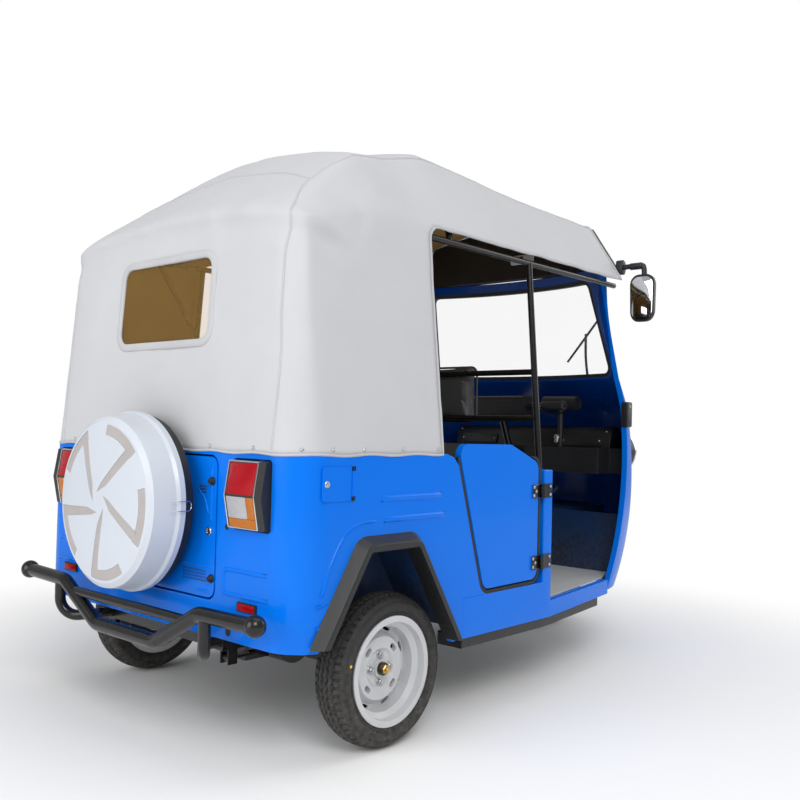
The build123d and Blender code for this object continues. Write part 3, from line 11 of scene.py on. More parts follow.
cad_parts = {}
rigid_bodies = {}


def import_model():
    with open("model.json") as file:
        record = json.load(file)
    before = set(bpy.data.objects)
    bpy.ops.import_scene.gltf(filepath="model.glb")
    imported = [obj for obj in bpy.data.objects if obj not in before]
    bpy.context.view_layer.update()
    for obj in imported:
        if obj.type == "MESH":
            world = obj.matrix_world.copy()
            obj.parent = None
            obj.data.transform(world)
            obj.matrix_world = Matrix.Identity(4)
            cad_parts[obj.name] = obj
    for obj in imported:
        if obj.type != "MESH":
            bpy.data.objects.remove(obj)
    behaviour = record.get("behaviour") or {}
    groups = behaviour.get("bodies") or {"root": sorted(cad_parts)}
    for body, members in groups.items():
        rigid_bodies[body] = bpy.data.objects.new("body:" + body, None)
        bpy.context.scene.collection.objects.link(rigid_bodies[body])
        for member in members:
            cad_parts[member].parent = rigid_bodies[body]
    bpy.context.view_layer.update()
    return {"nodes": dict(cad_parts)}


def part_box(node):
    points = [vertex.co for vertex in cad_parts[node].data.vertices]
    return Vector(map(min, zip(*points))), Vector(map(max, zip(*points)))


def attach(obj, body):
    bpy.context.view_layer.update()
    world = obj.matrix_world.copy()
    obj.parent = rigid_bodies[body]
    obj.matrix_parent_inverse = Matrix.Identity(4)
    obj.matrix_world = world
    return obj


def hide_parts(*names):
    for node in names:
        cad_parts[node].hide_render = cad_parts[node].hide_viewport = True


bl_info = {
    "name": "Passenger Rickshaw Dressing",
    "version": (1, 0, 0),
    "blender": (4, 5, 0),
    "location": "3D View > Sidebar > Rickshaw",
    "description": "Builds the canvas hood, seats, tyres, trim and finishes round the CAD frame",
    "category": "Add Mesh",
}

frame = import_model()
NODES = frame["nodes"]
SIDES = (-1, 1)
SIDE_NAMES = {-1: "right", 1: "left"}
MM = 0.001

# Places read from the frame
BODY_LOW, BODY_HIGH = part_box("rear_body")
CANOPY_LOW, CANOPY_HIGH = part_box("canopy")
BODY_SIDE_Y = BODY_HIGH.y
BODY_REAR_X = BODY_LOW.x
HEM_Z = CANOPY_LOW.z


class RickshawSettings(bpy.types.PropertyGroup):
    """Sizes and colours that a user of this rickshaw would change."""

    body_colour: bpy.props.FloatVectorProperty(
        name="Body Colour", description="Gloss paint of the body, doors and cowl",
        subtype="COLOR", size=3, default=(0.0, 0.168, 0.79), min=0.0, max=1.0,
    )
    canvas_colour: bpy.props.FloatVectorProperty(
        name="Canvas Colour", description="Outside of the hood",
        subtype="COLOR", size=3, default=(0.53, 0.535, 0.555), min=0.0, max=1.0,
    )
    lining_colour: bpy.props.FloatVectorProperty(
        name="Lining Colour", description="Inside of the hood",
        subtype="COLOR", size=3, default=(0.46, 0.27, 0.085), min=0.0, max=1.0,
    )
    canvas_spacing: bpy.props.FloatProperty(
        name="Canvas Mesh Spacing", description="Distance between the hood's mesh points",
        unit="LENGTH", default=0.016, min=0.008, max=0.05,
    )
    canvas_sag: bpy.props.FloatProperty(
        name="Canvas Sag", description="How far the hood sinks between two bows",
        unit="LENGTH", default=0.010, min=0.0, max=0.03,
    )
    stud_pitch: bpy.props.FloatProperty(
        name="Stud Pitch", description="Distance between the press studs along the hem",
        unit="LENGTH", default=0.205, min=0.1, max=0.4,
    )
    tread_depth: bpy.props.FloatProperty(
        name="Tread Depth", description="Depth of the grooves in the tyres",
        unit="LENGTH", default=0.0055, min=0.002, max=0.008,
    )
    tread_pitches: bpy.props.IntProperty(
        name="Tread Pitches", description="Number of shoulder blocks round a tyre",
        default=60, min=30, max=90,
    )
    seat_crown: bpy.props.FloatProperty(
        name="Seat Crown", description="Height of a cushion's middle over its edge",
        unit="LENGTH", default=0.012, min=0.0, max=0.03,
    )


def settings():
    """The rickshaw's settings in the current scene."""
    return bpy.context.scene.rickshaw


# The frame's own plain materials keep the short names
FINISH_NAME = "{}_finish"


def finish(name):
    """The finished material of a slot."""
    return bpy.data.materials[FINISH_NAME.format(name)]


# Mesh helpers
def add_piece(bm, name, body, materials, smooth_angle=35.0):
    """Turns a bmesh into a named object with its finish, riding on a body."""
    bmesh.ops.recalc_face_normals(bm, faces=bm.faces)
    mesh = bpy.data.meshes.new(name)
    bm.to_mesh(mesh)
    bm.free()
    for material in materials:
        mesh.materials.append(finish(material))
    mesh.shade_smooth()
    mesh.set_sharp_from_angle(angle=math.radians(smooth_angle))
    piece = bpy.data.objects.new(name, mesh)
    bpy.context.scene.collection.objects.link(piece)
    if body:
        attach(piece, body)
    return piece


def bridge(bm, ring_a, ring_b, closed=True, material=0):
    """Faces between two rings; a ring of one point makes a fan."""
    count = max(len(ring_a), len(ring_b))
    for k in range(count if closed else count - 1):
        n = (k + 1) % count
        corners = [
            ring_a[k % len(ring_a)], ring_a[n % len(ring_a)], ring_b[n % len(ring_b)],
            ring_b[k % len(ring_b)],
        ]
        corners = [v for i, v in enumerate(corners) if v not in corners[:i]]
        if len(corners) > 2:
            bm.faces.new(corners).material_index = material


def add_lathe(bm, profile, centre, axis, steps=48, closed=False, material=0):
    """Turns a profile of (along the axis, radius) points round an axis."""
    axis = Vector(axis).normalized()
    across = axis.orthogonal().normalized()
    up = axis.cross(across)
    centre = Vector(centre)
    rings = []
    for along, radius in profile:
        at = centre + axis * along
        if radius < 1e-6:
            rings.append([bm.verts.new(at)])
            continue
        turns = [2 * math.pi * k / steps for k in range(steps)]
        rings.append([bm.verts.new(at + (across * math.cos(t) + up * math.sin(t)) * radius) for t in turns])
    for ring_a, ring_b in zip(rings, rings[1:]):
        bridge(bm, ring_a, ring_b, material=material)
    if closed:
        bridge(bm, rings[-1], rings[0], material=material)


def add_tube(bm, points, radius, sides=12, closed=False, material=0, squash=1.0):
    """Sweeps a round section along points, flattened by squash across the path's side."""
    points = [Vector(p) for p in points]
    count = len(points)
    rings = []
    side = None
    for k, point in enumerate(points):
        before = points[k - 1] if k or closed else points[k]
        after = points[(k + 1) % count] if k + 1 < count or closed else points[k]
        along = (after - before).normalized()
        side = along.orthogonal() if side is None else side - along * side.dot(along)
        side = side.normalized()
        up = along.cross(side)
        turns = [2 * math.pi * s / sides for s in range(sides)]
        offsets = [(side * math.cos(t) * squash + up * math.sin(t)) * radius for t in turns]
        rings.append([bm.verts.new(point + offset) for offset in offsets])
    for ring_a, ring_b in zip(rings, rings[1:]):
        bridge(bm, ring_a, ring_b, material=material)
    if closed:
        bridge(bm, rings[-1], rings[0], material=material)
    else:
        bm.faces.new(rings[0]).material_index = material
        bm.faces.new(rings[-1]).material_index = material


def add_prism(bm, outline, origin, across, up, depth, rounding=0.0, material=0, segments=2):
    """Extrudes a flat outline by depth along across x up, with rounded edges."""
    across, up, origin = Vector(across), Vector(up), Vector(origin)
    away = across.cross(up).normalized() * depth
    low = [bm.verts.new(origin + across * a + up * b) for a, b in outline]
    high = [bm.verts.new(v.co + away) for v in low]
    faces = [bm.faces.new(low), bm.faces.new(high)]
    for k, vertex in enumerate(low):
        n = (k + 1) % len(low)
        faces.append(bm.faces.new([vertex, low[n], high[n], high[k]]))
    for face in faces:
        face.material_index = material
    if rounding:
        bmesh.ops.recalc_face_normals(bm, faces=faces)
        edges = {e for f in faces[:2] for e in f.edges}
        bmesh.ops.bevel(
            bm, geom=list(edges), offset=rounding, segments=segments, profile=0.5, affect="EDGES",
            clamp_overlap=True, material=-1,
        )


def rounded_outline(width, height, radius, steps=6, centre=(0.0, 0.0)):
    """Corner-rounded rectangle as a list of points, anticlockwise."""
    radius = min(radius, width / 2 - 1e-5, height / 2 - 1e-5)
    points = []
    for quarter, (sx, sy) in enumerate(((1, 1), (-1, 1), (-1, -1), (1, -1))):
        for k in range(steps + 1):
            turn = math.pi / 2 * (quarter + k / steps)
            points.append((
                centre[0] + sx * (width / 2 - radius) + radius * math.cos(turn),
                centre[1] + sy * (height / 2 - radius) + radius * math.sin(turn),
            ))
    return points


def add_dome(bm, centre, axis, radius, height, steps=16, material=0):
    """Round bolt or stud head that stands on a surface."""
    profile = [
        (0.0, radius), (height * 0.45, radius * 0.97), (height * 0.8, radius * 0.72),
        (height, radius * 0.3), (height, 0.0),
    ]
    add_lathe(bm, [(-height * 0.3, radius)] + profile, centre, axis, steps=steps, material=material)


def add_hex_bolt(bm, centre, axis, radius, height, material=0):
    """Hexagon head on a round washer."""
    add_lathe(
        bm,
        [
            (-height * 0.3, radius * 1.35), (height * 0.18, radius * 1.35),
            (height * 0.25, radius * 1.25), (height * 0.25, 0.0),
        ],
        centre, axis, steps=24, material=material,
    )
    add_lathe(
        bm,
        [(height * 0.2, radius), (height * 0.85, radius), (height, radius * 0.82), (height, 0.0)],
        centre, axis, steps=6, material=material,
    )


def smooth_path(points, steps=8):
    """Points of a smooth line through the given ones."""
    points = [Vector(p) for p in points]
    padded = [points[0] * 2 - points[1]] + points + [points[-1] * 2 - points[-2]]
    path = []
    for a, b, c, d in zip(padded, padded[1:], padded[2:], padded[3:]):
        for k in range(steps):
            t = k / steps
            path.append(
                0.5 * (
                    (2 * b) + (c - a) * t + (
                        2 * a - 5 * b + 4 * c - d
                    ) * t * t + (3 * b - a - 3 * c + d) * t ** 3
                )
            )
    return path + [points[-1]]


# Shader groups shared by the finishes
def new_group(name, inputs, outputs):
    """Empty shader group with named sockets."""
    group = bpy.data.node_groups.new(name, "ShaderNodeTree")
    for label, kind, default in inputs:
        socket = group.interface.new_socket(label, in_out="INPUT", socket_type=kind)
        if default is not None:
            socket.default_value = default
    for label, kind in outputs:
        group.interface.new_socket(label, in_out="OUTPUT", socket_type=kind)
    return group, group.nodes.new("NodeGroupInput"), group.nodes.new("NodeGroupOutput")


def math_node(tree, operation, a, b=None, clamp=False):
    """Math node fed by sockets or numbers."""
    node = tree.nodes.new("ShaderNodeMath")
    node.operation = operation
    node.use_clamp = clamp
    for index, value in enumerate((a, b)):
        if value is None:
            continue
        if isinstance(value, (int, float)):
            node.inputs[index].default_value = value
        else:
            tree.links.new(value, node.inputs[index])
    return node.outputs[0]


def mix_colour(tree, share, a, b):
    """Colour mix fed by sockets."""
    node = tree.nodes.new("ShaderNodeMix")
    node.data_type = "RGBA"
    for socket, value in ((node.inputs[0], share), (node.inputs[6], a), (node.inputs[7], b)):
        if isinstance(value, bpy.types.NodeSocket):
            tree.links.new(value, socket)
        else:
            socket.default_value = value
    return node.outputs[2]


def noise_node(tree, vector, scale, detail=3.0, roughness=0.5):
    """Noise texture whose scale may be a socket."""
    node = tree.nodes.new("ShaderNodeTexNoise")
    node.inputs["Detail"].default_value = detail
    node.inputs["Roughness"].default_value = roughness
    tree.links.new(vector, node.inputs["Vector"])
    if isinstance(scale, bpy.types.NodeSocket):
        tree.links.new(scale, node.inputs["Scale"])
    else:
        node.inputs["Scale"].default_value = scale
    return node.outputs["Fac"]


def build_tone_group():
    """Colour and roughness that vary in soft patches, with road dust gathering low down."""
    group, source, result = new_group(
        "Surface Tone",
        (
            ("Position", "NodeSocketVector", None),
            ("Colour", "NodeSocketColor", (0.5, 0.5, 0.5, 1.0)),
            ("Second Colour", "NodeSocketColor", (0.4, 0.4, 0.4, 1.0)),
            ("Patch Scale", "NodeSocketFloat", 3.0),
            ("Roughness", "NodeSocketFloat", 0.4),
            ("Roughness Spread", "NodeSocketFloat", 0.08),
            ("Dust", "NodeSocketFloat", 0.0),
            ("Dust Height", "NodeSocketFloat", 0.6),
        ),
        (("Colour", "NodeSocketColor"), ("Roughness", "NodeSocketFloat")),
    )
    patches = noise_node(group, source.outputs["Position"], source.outputs["Patch Scale"], 5.0, 0.6)
    share = math_node(
        group, "SMOOTH_MIN",
        math_node(group, "MULTIPLY", math_node(group, "SUBTRACT", patches, 0.3), 2.0, True), 1.0,
    )
    toned = mix_colour(group, share, source.outputs["Colour"], source.outputs["Second Colour"])
    split = group.nodes.new("ShaderNodeSeparateXYZ")
    group.links.new(source.outputs["Position"], split.inputs[0])
    depth = math_node(group, "DIVIDE", split.outputs["Z"], source.outputs["Dust Height"])
    low = math_node(group, "SUBTRACT", 1.0, depth, True)
    specks = noise_node(group, source.outputs["Position"], 55.0, 6.0, 0.7)
    settled = math_node(
        group, "MULTIPLY", low,
        math_node(group, "MULTIPLY", math_node(group, "SUBTRACT", specks, 0.35, True), 3.0, True),
        True,
    )
    dusty = math_node(group, "MULTIPLY", settled, source.outputs["Dust"], True)
    coloured = mix_colour(group, dusty, toned, (0.30, 0.27, 0.23, 1.0))
    spread = math_node(
        group, "MULTIPLY", math_node(group, "SUBTRACT", patches, 0.5),
        source.outputs["Roughness Spread"],
    )
    rough = math_node(group, "ADD", source.outputs["Roughness"], math_node(group, "MULTIPLY", spread, 2.0))
    rough = math_node(group, "ADD", rough, math_node(group, "MULTIPLY", dusty, 0.3), True)
    group.links.new(coloured, result.inputs["Colour"])
    group.links.new(rough, result.inputs["Roughness"])


def build_grain_group():
    """Fine moulded or pebbled grain."""
    group, source, result = new_group(
        "Fine Grain",
        (
            ("Position", "NodeSocketVector", None), ("Grain Scale", "NodeSocketFloat", 400.0),
            ("Waviness", "NodeSocketFloat", 0.3),
        ),
        (("Height", "NodeSocketFloat"),),
    )
    cells = group.nodes.new("ShaderNodeTexVoronoi")
    group.links.new(source.outputs["Position"], cells.inputs["Vector"])
    group.links.new(source.outputs["Grain Scale"], cells.inputs["Scale"])
    waves = noise_node(group, source.outputs["Position"], 9.0, 2.0)
    height = math_node(
        group, "ADD", cells.outputs["Distance"],
        math_node(group, "MULTIPLY", waves, source.outputs["Waviness"]),
    )
    group.links.new(height, result.inputs["Height"])


def build_weave_group():
    """Crossed threads that read as a weave on any face of the hood."""
    group, source, result = new_group(
        "Woven Threads",
        (("Position", "NodeSocketVector", None), ("Threads per Metre", "NodeSocketFloat", 900.0)),
        (("Height", "NodeSocketFloat"),),
    )
    split = group.nodes.new("ShaderNodeSeparateXYZ")
    group.links.new(source.outputs["Position"], split.inputs[0])
    turn = math_node(group, "MULTIPLY", source.outputs["Threads per Metre"], 2 * math.pi)
    total = None
    for axis in "XYZ":
        wave = math_node(group, "SINE", math_node(group, "MULTIPLY", split.outputs[axis], turn))
        total = wave if total is None else math_node(group, "ADD", total, wave)
    height = math_node(group, "MULTIPLY", math_node(group, "ADD", total, 3.0), 1 / 6)
    slubs = noise_node(group, source.outputs["Position"], 120.0, 4.0, 0.7)
    group.links.new(
        math_node(group, "ADD", height, math_node(group, "MULTIPLY", slubs, 0.5)),
        result.inputs["Height"],
    )


def group_node(tree, name, position, **values):
    """Places a shared group in a material, fed with the surface's own position."""
    node = tree.nodes.new("ShaderNodeGroup")
    node.node_tree = bpy.data.node_groups[name]
    tree.links.new(position, node.inputs["Position"])
    for label, value in values.items():
        node.inputs[label.replace("_", " ")].default_value = value
    return node


def make_finish(
    name, colour, second=None, patch=3.0, roughness=0.4, spread=0.05, dust=0.0, dust_height=0.6,
    grain=None, grain_depth=0.0, waviness=0.3, **plain,
):
    """Material with toned colour, varied roughness and, where it has one, a grain."""
    material = bpy.data.materials.new(FINISH_NAME.format(name))
    material.use_nodes = True
    tree = material.node_tree
    shader = tree.nodes["Principled BSDF"]
    position = tree.nodes.new("ShaderNodeTexCoord").outputs["Object"]
    second = second or tuple(c * 0.86 for c in colour)
    tone = group_node(
        tree, "Surface Tone", position, Colour=(*colour, 1.0), Second_Colour=(*second, 1.0),
        Patch_Scale=patch, Roughness=roughness, Roughness_Spread=spread, Dust=dust, Dust_Height=dust_height,
    )
    tree.links.new(tone.outputs["Colour"], shader.inputs["Base Color"])
    tree.links.new(tone.outputs["Roughness"], shader.inputs["Roughness"])
    if grain:
        group_name = "Woven Threads" if grain < 0 else "Fine Grain"
        if grain < 0:
            relief = group_node(tree, group_name, position, Threads_per_Metre=-grain)
        else:
            relief = group_node(tree, group_name, position, Grain_Scale=grain, Waviness=waviness)
        bump = tree.nodes.new("ShaderNodeBump")
        bump.inputs["Distance"].default_value = grain_depth
        bump.inputs["Strength"].default_value = 0.7
        tree.links.new(relief.outputs["Height"], bump.inputs["Height"])
        tree.links.new(bump.outputs["Normal"], shader.inputs["Normal"])
    for label, value in plain.items():
        shader.inputs[label.replace("_", " ")].default_value = value
    return material


def make_materials():
    """Every finish of the rickshaw."""
    build_tone_group()
    build_grain_group()
    build_weave_group()
    chosen = settings()
    blue = tuple(chosen.body_colour)
    canvas = tuple(chosen.canvas_colour)
    lining = tuple(chosen.lining_colour)
    for name in ("blue_paint", "cowl_paint"):
        make_finish(
            name, blue, (blue[0], blue[1] * 0.93, blue[2] * 0.95), 1.6, 0.26, 0.05, 0.10, 0.45,
            grain=38.0, grain_depth=0.00025, Coat_Weight=0.16, Coat_Roughness=0.05, Specular_IOR_Level=0.10,
        )
    # The cowl's inner faces get a deep navy: painted shade inside the cab.
    paint_shade_inside("cowl_paint", (blue[0], blue[1] * 0.28, blue[2] * 0.36))
    make_finish(
        "grey_paint", (0.52, 0.54, 0.55), None, 5.0, 0.45, 0.08, 0.3, 0.5, grain=250.0,
        grain_depth=0.0002,
    )
    make_finish(
        "black_paint", (0.005, 0.005, 0.0055), (0.008, 0.008, 0.0085), 6.0, 0.26, 0.06, 0.07, 0.4,
        grain=160.0, grain_depth=0.0001, Coat_Weight=0.3, Coat_Roughness=0.1,
        Specular_IOR_Level=0.3,
    )
    make_finish(
        "black_plastic", (0.010, 0.0105, 0.012), (0.015, 0.0155, 0.017), 7.0, 0.40, 0.06, 0.08,
        0.45, grain=700.0, grain_depth=0.0003,
    )
    # Off-white plastic tinted blue: painted reflection of the blue body.
    make_finish(
        "white_plastic", (0.58, 0.62, 0.68), (0.55, 0.59, 0.65), 4.0, 0.33, 0.05, grain=30.0,
        grain_depth=0.0002, Coat_Weight=0.2, Coat_Roughness=0.15,
    )
    make_finish(
        "accent_grey", (0.42, 0.39, 0.38), (0.38, 0.355, 0.345), 9.0, 0.38, 0.05, grain=300.0,
        grain_depth=0.00015,
    )
    make_finish(
        "rubber", (0.008, 0.008, 0.009), (0.013, 0.013, 0.013), 9.0, 0.62, 0.08, 0.06, 0.5,
        grain=900.0, grain_depth=0.0002,
    )
    make_finish(
        "tyre", (0.010, 0.010, 0.011), (0.017, 0.017, 0.017), 12.0, 0.66, 0.1, 0.28, 0.5,
        grain=600.0, grain_depth=0.0004,
    )
    make_finish(
        "rim_steel", (0.60, 0.61, 0.625), (0.52, 0.525, 0.54), 9.0, 0.38, 0.07, 0.12, 0.45,
        grain=120.0, grain_depth=0.00015, Coat_Weight=0.2,
    )
    make_finish(
        "canvas", canvas, tuple(c * 0.93 for c in canvas), 2.2, 0.62, 0.05, grain=-520.0,
        grain_depth=0.0002, Sheen_Weight=0.05,
    )
    make_finish(
        "canvas_binding", tuple(c * 0.95 for c in canvas), None, 5.0, 0.66, 0.05, grain=-650.0,
        grain_depth=0.0003,
    )
    make_finish(
        "hood_lining", lining, tuple(c * 0.8 for c in lining), 3.0, 0.75, 0.05, grain=-420.0,
        grain_depth=0.0004,
    )
    make_finish(
        "seat_vinyl", (0.028, 0.028, 0.031), (0.04, 0.04, 0.043), 6.0, 0.42, 0.08, grain=420.0,
        grain_depth=0.0005,
    )
    make_finish(
        "chrome", (0.72, 0.73, 0.75), (0.66, 0.67, 0.69), 20.0, 0.14, 0.04, grain=60.0,
        grain_depth=0.0001, Metallic=1.0,
    )
    make_finish(
        "zinc", (0.55, 0.56, 0.57), (0.45, 0.46, 0.47), 40.0, 0.38, 0.1, 0.2, 0.6, grain=500.0,
        grain_depth=0.0002, Metallic=1.0,
    )
    make_finish(
        "brass", (0.66, 0.44, 0.16), (0.52, 0.33, 0.11), 40.0, 0.30, 0.1, grain=300.0,
        grain_depth=0.0002, Metallic=1.0,
    )
    # Near-black patches that stand for holes: painted shade of the openings.
    make_finish("opening_painted_shade", (0.006, 0.006, 0.007), None, 20.0, 0.8)
    make_finish(
        "red_lens", (0.38, 0.0, 0.006), (0.30, 0.0, 0.004), 30.0, 0.18, 0.04, grain=260.0,
        grain_depth=0.0008, Specular_IOR_Level=0.2,
    )
    make_finish(
        "amber_lens", (0.52, 0.17, 0.02), (0.44, 0.13, 0.015), 30.0, 0.2, 0.04, grain=260.0,
        grain_depth=0.0008, Specular_IOR_Level=0.2,
    )
    make_finish(
        "white_lens", (0.42, 0.42, 0.43), (0.36, 0.36, 0.37), 30.0, 0.18, 0.04, grain=260.0,
        grain_depth=0.0008, Coat_Weight=0.6,
    )
    make_finish("mirror_glass", (0.80, 0.82, 0.84), None, 8.0, 0.03, 0.01, Metallic=1.0)
    make_finish("clear_lens", (0.80, 0.84, 0.86), (0.76, 0.80, 0.82), 9.0, 0.05, 0.01, Alpha=0.05)
    make_finish(
        "clear_vinyl", (0.42, 0.25, 0.07), (0.36, 0.21, 0.06), 7.0, 0.16, 0.05, grain=14.0,
        grain_depth=0.001, Alpha=0.20, Specular_IOR_Level=0.15,
    )
    make_finish(
        "lamp_glass", (0.62, 0.64, 0.66), (0.50, 0.52, 0.54), 20.0, 0.12, 0.04,
        grain=85.0, grain_depth=0.003, Metallic=0.35, Coat_Weight=1.0,
    )
    make_finish("yellow_paint", (0.85, 0.52, 0.02), (0.70, 0.42, 0.02), 90.0, 0.6, 0.1)
    # Wheelhouses: blue darkened to deep navy as painted shade inside the arches, patched with near-black
    # for their black undercoat.
    make_finish(
        "inner_blue", (
            blue[0], blue[1] * 0.16, blue[2] * 0.13,
        ), (0.006, 0.006, 0.008), 5.0, 0.5, 0.1, 0.35, 0.6,
        grain=120.0, grain_depth=0.0005,
    )


def paint_shade_inside(name, inner):
    """Paints shade on a finish: a darker second colour on the faces that look back into the cab, standing
    in for the shade inside it.
    """
    tree = finish(name).node_tree
    shader = tree.nodes["Principled BSDF"]
    outer = shader.inputs["Base Color"].links[0].from_socket
    normal = tree.nodes.new("ShaderNodeSeparateXYZ")
    tree.links.new(tree.nodes.new("ShaderNodeTexCoord").outputs["Normal"], normal.inputs[0])
    place = tree.nodes.new("ShaderNodeSeparateXYZ")
    tree.links.new(tree.nodes.new("ShaderNodeTexCoord").outputs["Object"], place.inputs[0])
    # Faces turned rearward within the cab's width take the darker colour as painted shade.
    backward = math_node(
        tree, "MULTIPLY", math_node(tree, "MULTIPLY", normal.outputs["X"], -1.0), 8.0, True,
    )
    spread = math_node(tree, "ABSOLUTE", place.outputs["Y"])
    within = math_node(tree, "MULTIPLY", math_node(tree, "SUBTRACT", 0.54, spread), 120.0, True)
    share = math_node(tree, "MULTIPLY", backward, within)
    tree.links.new(mix_colour(tree, share, outer, (*inner, 1.0)), shader.inputs["Base Color"])


CAD_FINISHES = {
    "blue_paint": ("rear_body", "door_left", "door_right", "rear_hatch", "charge_flap", "sills"),
    # The cowl's finish carries painted shade on its inner faces.
    "cowl_paint": ("front_cowl",),
    "black_plastic": (
        "arch_flares", "dashboard", "instrument_pod", "handlebar_shroud", "lamp_housings",
        "spare_pan", "side_steps", "seat_boxes", "front_mudguard", "rear_lenses", "roof_header",
    ),
    "black_paint": (
        "chassis_frame", "door_hinges", "drive_unit", "front_fork", "hatch_hinges", "hood_frame",
        "rear_axle", "rear_bumper", "wiper",
    ),
    "grey_paint": ("cab_floor", "battery_box"),
    "white_plastic": ("spare_cover",),
    # The wheelhouses' dark blue is painted shade over their black undercoat.
    "inner_blue": ("front_wheelhouse", "wheel_housings"),
    "clear_lens": ("windscreen",),
    "lamp_glass": ("headlamp_lenses",),
    "clear_vinyl": ("rear_window",),
    "rubber": ("rubber_seals",),
    "rim_steel": ("rear_rim_left", "rear_rim_right", "front_rim"),
}
SOFTENED = {
    # node and the radius that its edges are eased by
    "rear_body": 4.0, "door_left": 3.0, "door_right": 3.0, "rear_hatch": 3.0, "front_cowl": 2.5,
    "sills": 4.0, "dashboard": 8.0, "seat_boxes": 6.0, "side_steps": 5.0,
    "battery_box": 6.0, "charge_flap": 1.0, "cab_floor": 1.0, "wheel_housings": 4.0, "roof_header": 4.0,
    "chassis_frame": 1.5, "lamp_housings": 5.0, "instrument_pod": 4.0, "rear_lenses": 2.0,
}


def finish_nodes():
    """Gives every CAD node its finish and eased edges."""
    for finish_name, names in CAD_FINISHES.items():
        for name in names:
            node = NODES[name]
            node.data.materials.clear()
            node.data.materials.append(finish(finish_name))
    for name, radius in SOFTENED.items():
        node = NODES[name]
        weld = node.modifiers.new("Weld", "WELD")
        weld.merge_threshold = 0.00002
        bevel = node.modifiers.new("Eased edges", "BEVEL")
        bevel.width = radius * MM
        bevel.segments = 3
        bevel.limit_method = "ANGLE"
        bevel.angle_limit = math.radians(40)
        bevel.harden_normals = False
        node.data.shade_smooth()
        smooth = node.modifiers.new("Even normals", "WEIGHTED_NORMAL")
        smooth.keep_sharp = False


# Tyres
RIM_FLANGE = 0.1665
SHOULDER_SHARE = 0.813
SHOULDER_DROP = 0.0125
BAND_HALF_SHARE = 0.84
STEPS_PER_PITCH = 7
CROWN_STEPS = 40
WALL_RIBS = (
    # radius, share of the half width
    (0.176, 0.955),
    (0.2045, 0.975),
    (0.2085, 0.975),
)


def tyre_profile(radius, half_width, flange):
    """Points (across, radius) of a tyre's wall from its bead to its shoulder."""
    return (
        (half_width * 0.824, flange),
        (half_width * 0.93, flange + 0.010),
        (half_width, flange + 0.030),
        (half_width * 0.985, flange + 0.038),
        (half_width * 0.93, flange + 0.048),
        (half_width * SHOULDER_SHARE, radius - SHOULDER_DROP),
    )


def groove_depth(across, turn, pitches, half_tread):
    """Share of the tread depth that is cut away at a place on the tyre."""
    phase = (turn * pitches / (2 * math.pi)) % 1.0
    zigzag = 0.0022 * (1 if phase < 0.5 else -1) * (1 - abs(phase % 0.5 - 0.25) * 2)
    for middle in (-0.55, -0.18, 0.18, 0.55):
        if abs(across - middle * half_tread - zigzag) < 0.0030:
            return 1.0
    if abs(across) > 0.62 * half_tread and 0.36 < phase < 0.64:
        return 0.9
    if 0.22 * half_tread < abs(across) < 0.50 * half_tread and 0.0 <= phase < 0.14:
        return 0.55
    return 0.0


def build_tyre(node, body):
    """Tyre with ribbed walls, rounded shoulders and cut tread."""
    chosen = settings()
    low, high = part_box(node)
    centre = (low + high) / 2
    radius = (high.z - low.z) / 2
    half_width = (high.y - low.y) / 2
    half_tread = half_width * BAND_HALF_SHARE
    pitches = chosen.tread_pitches
    around = pitches * STEPS_PER_PITCH
    bm = bmesh.new()
    rings = []
    for k in range(around):
        turn = 2 * math.pi * k / around
        direction = Vector((math.cos(turn), 0.0, math.sin(turn)))
        ring = []
        wall = tyre_profile(radius, half_width, RIM_FLANGE)
        for y, r in wall:
            ring.append((y, r))
        for s in range(1, CROWN_STEPS):
            y = half_tread * (1 - 2 * s / CROWN_STEPS)
            crown = radius - SHOULDER_DROP * abs(y / (half_width * SHOULDER_SHARE)) ** 2.2
            ring.append((y, crown - chosen.tread_depth * groove_depth(y, turn, pitches, half_tread)))
        for y, r in reversed(wall):
            ring.append((-y, r))
        ring.append((-half_width * 0.80, RIM_FLANGE - 0.012))
        ring.append((half_width * 0.80, RIM_FLANGE - 0.012))
        rings.append([bm.verts.new(centre + direction * r + Vector((0.0, y, 0.0))) for y, r in ring])
    for ring_a, ring_b in zip(rings, rings[1:] + rings[:1]):
        bridge(bm, ring_a, ring_b)
    for side in SIDES:
        for rib, share in WALL_RIBS:
            y = side * half_width * share
            profile = [(-0.0012, rib - 0.0016), (0.0012, rib), (-0.0012, rib + 0.0016)]
            add_lathe(
                bm, [(side * a, r) for a, r in profile], centre + Vector((0, y, 0)), (0, 1, 0),
                steps=96,
            )
    piece = add_piece(bm, node.replace("tyre", "treaded_tyre"), body, ["tyre"], 30.0)
    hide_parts(node)


NUT_CIRCLE = 0.042
VALVE_CIRCLE = 0.1205
MARK_CIRCLE = 0.192


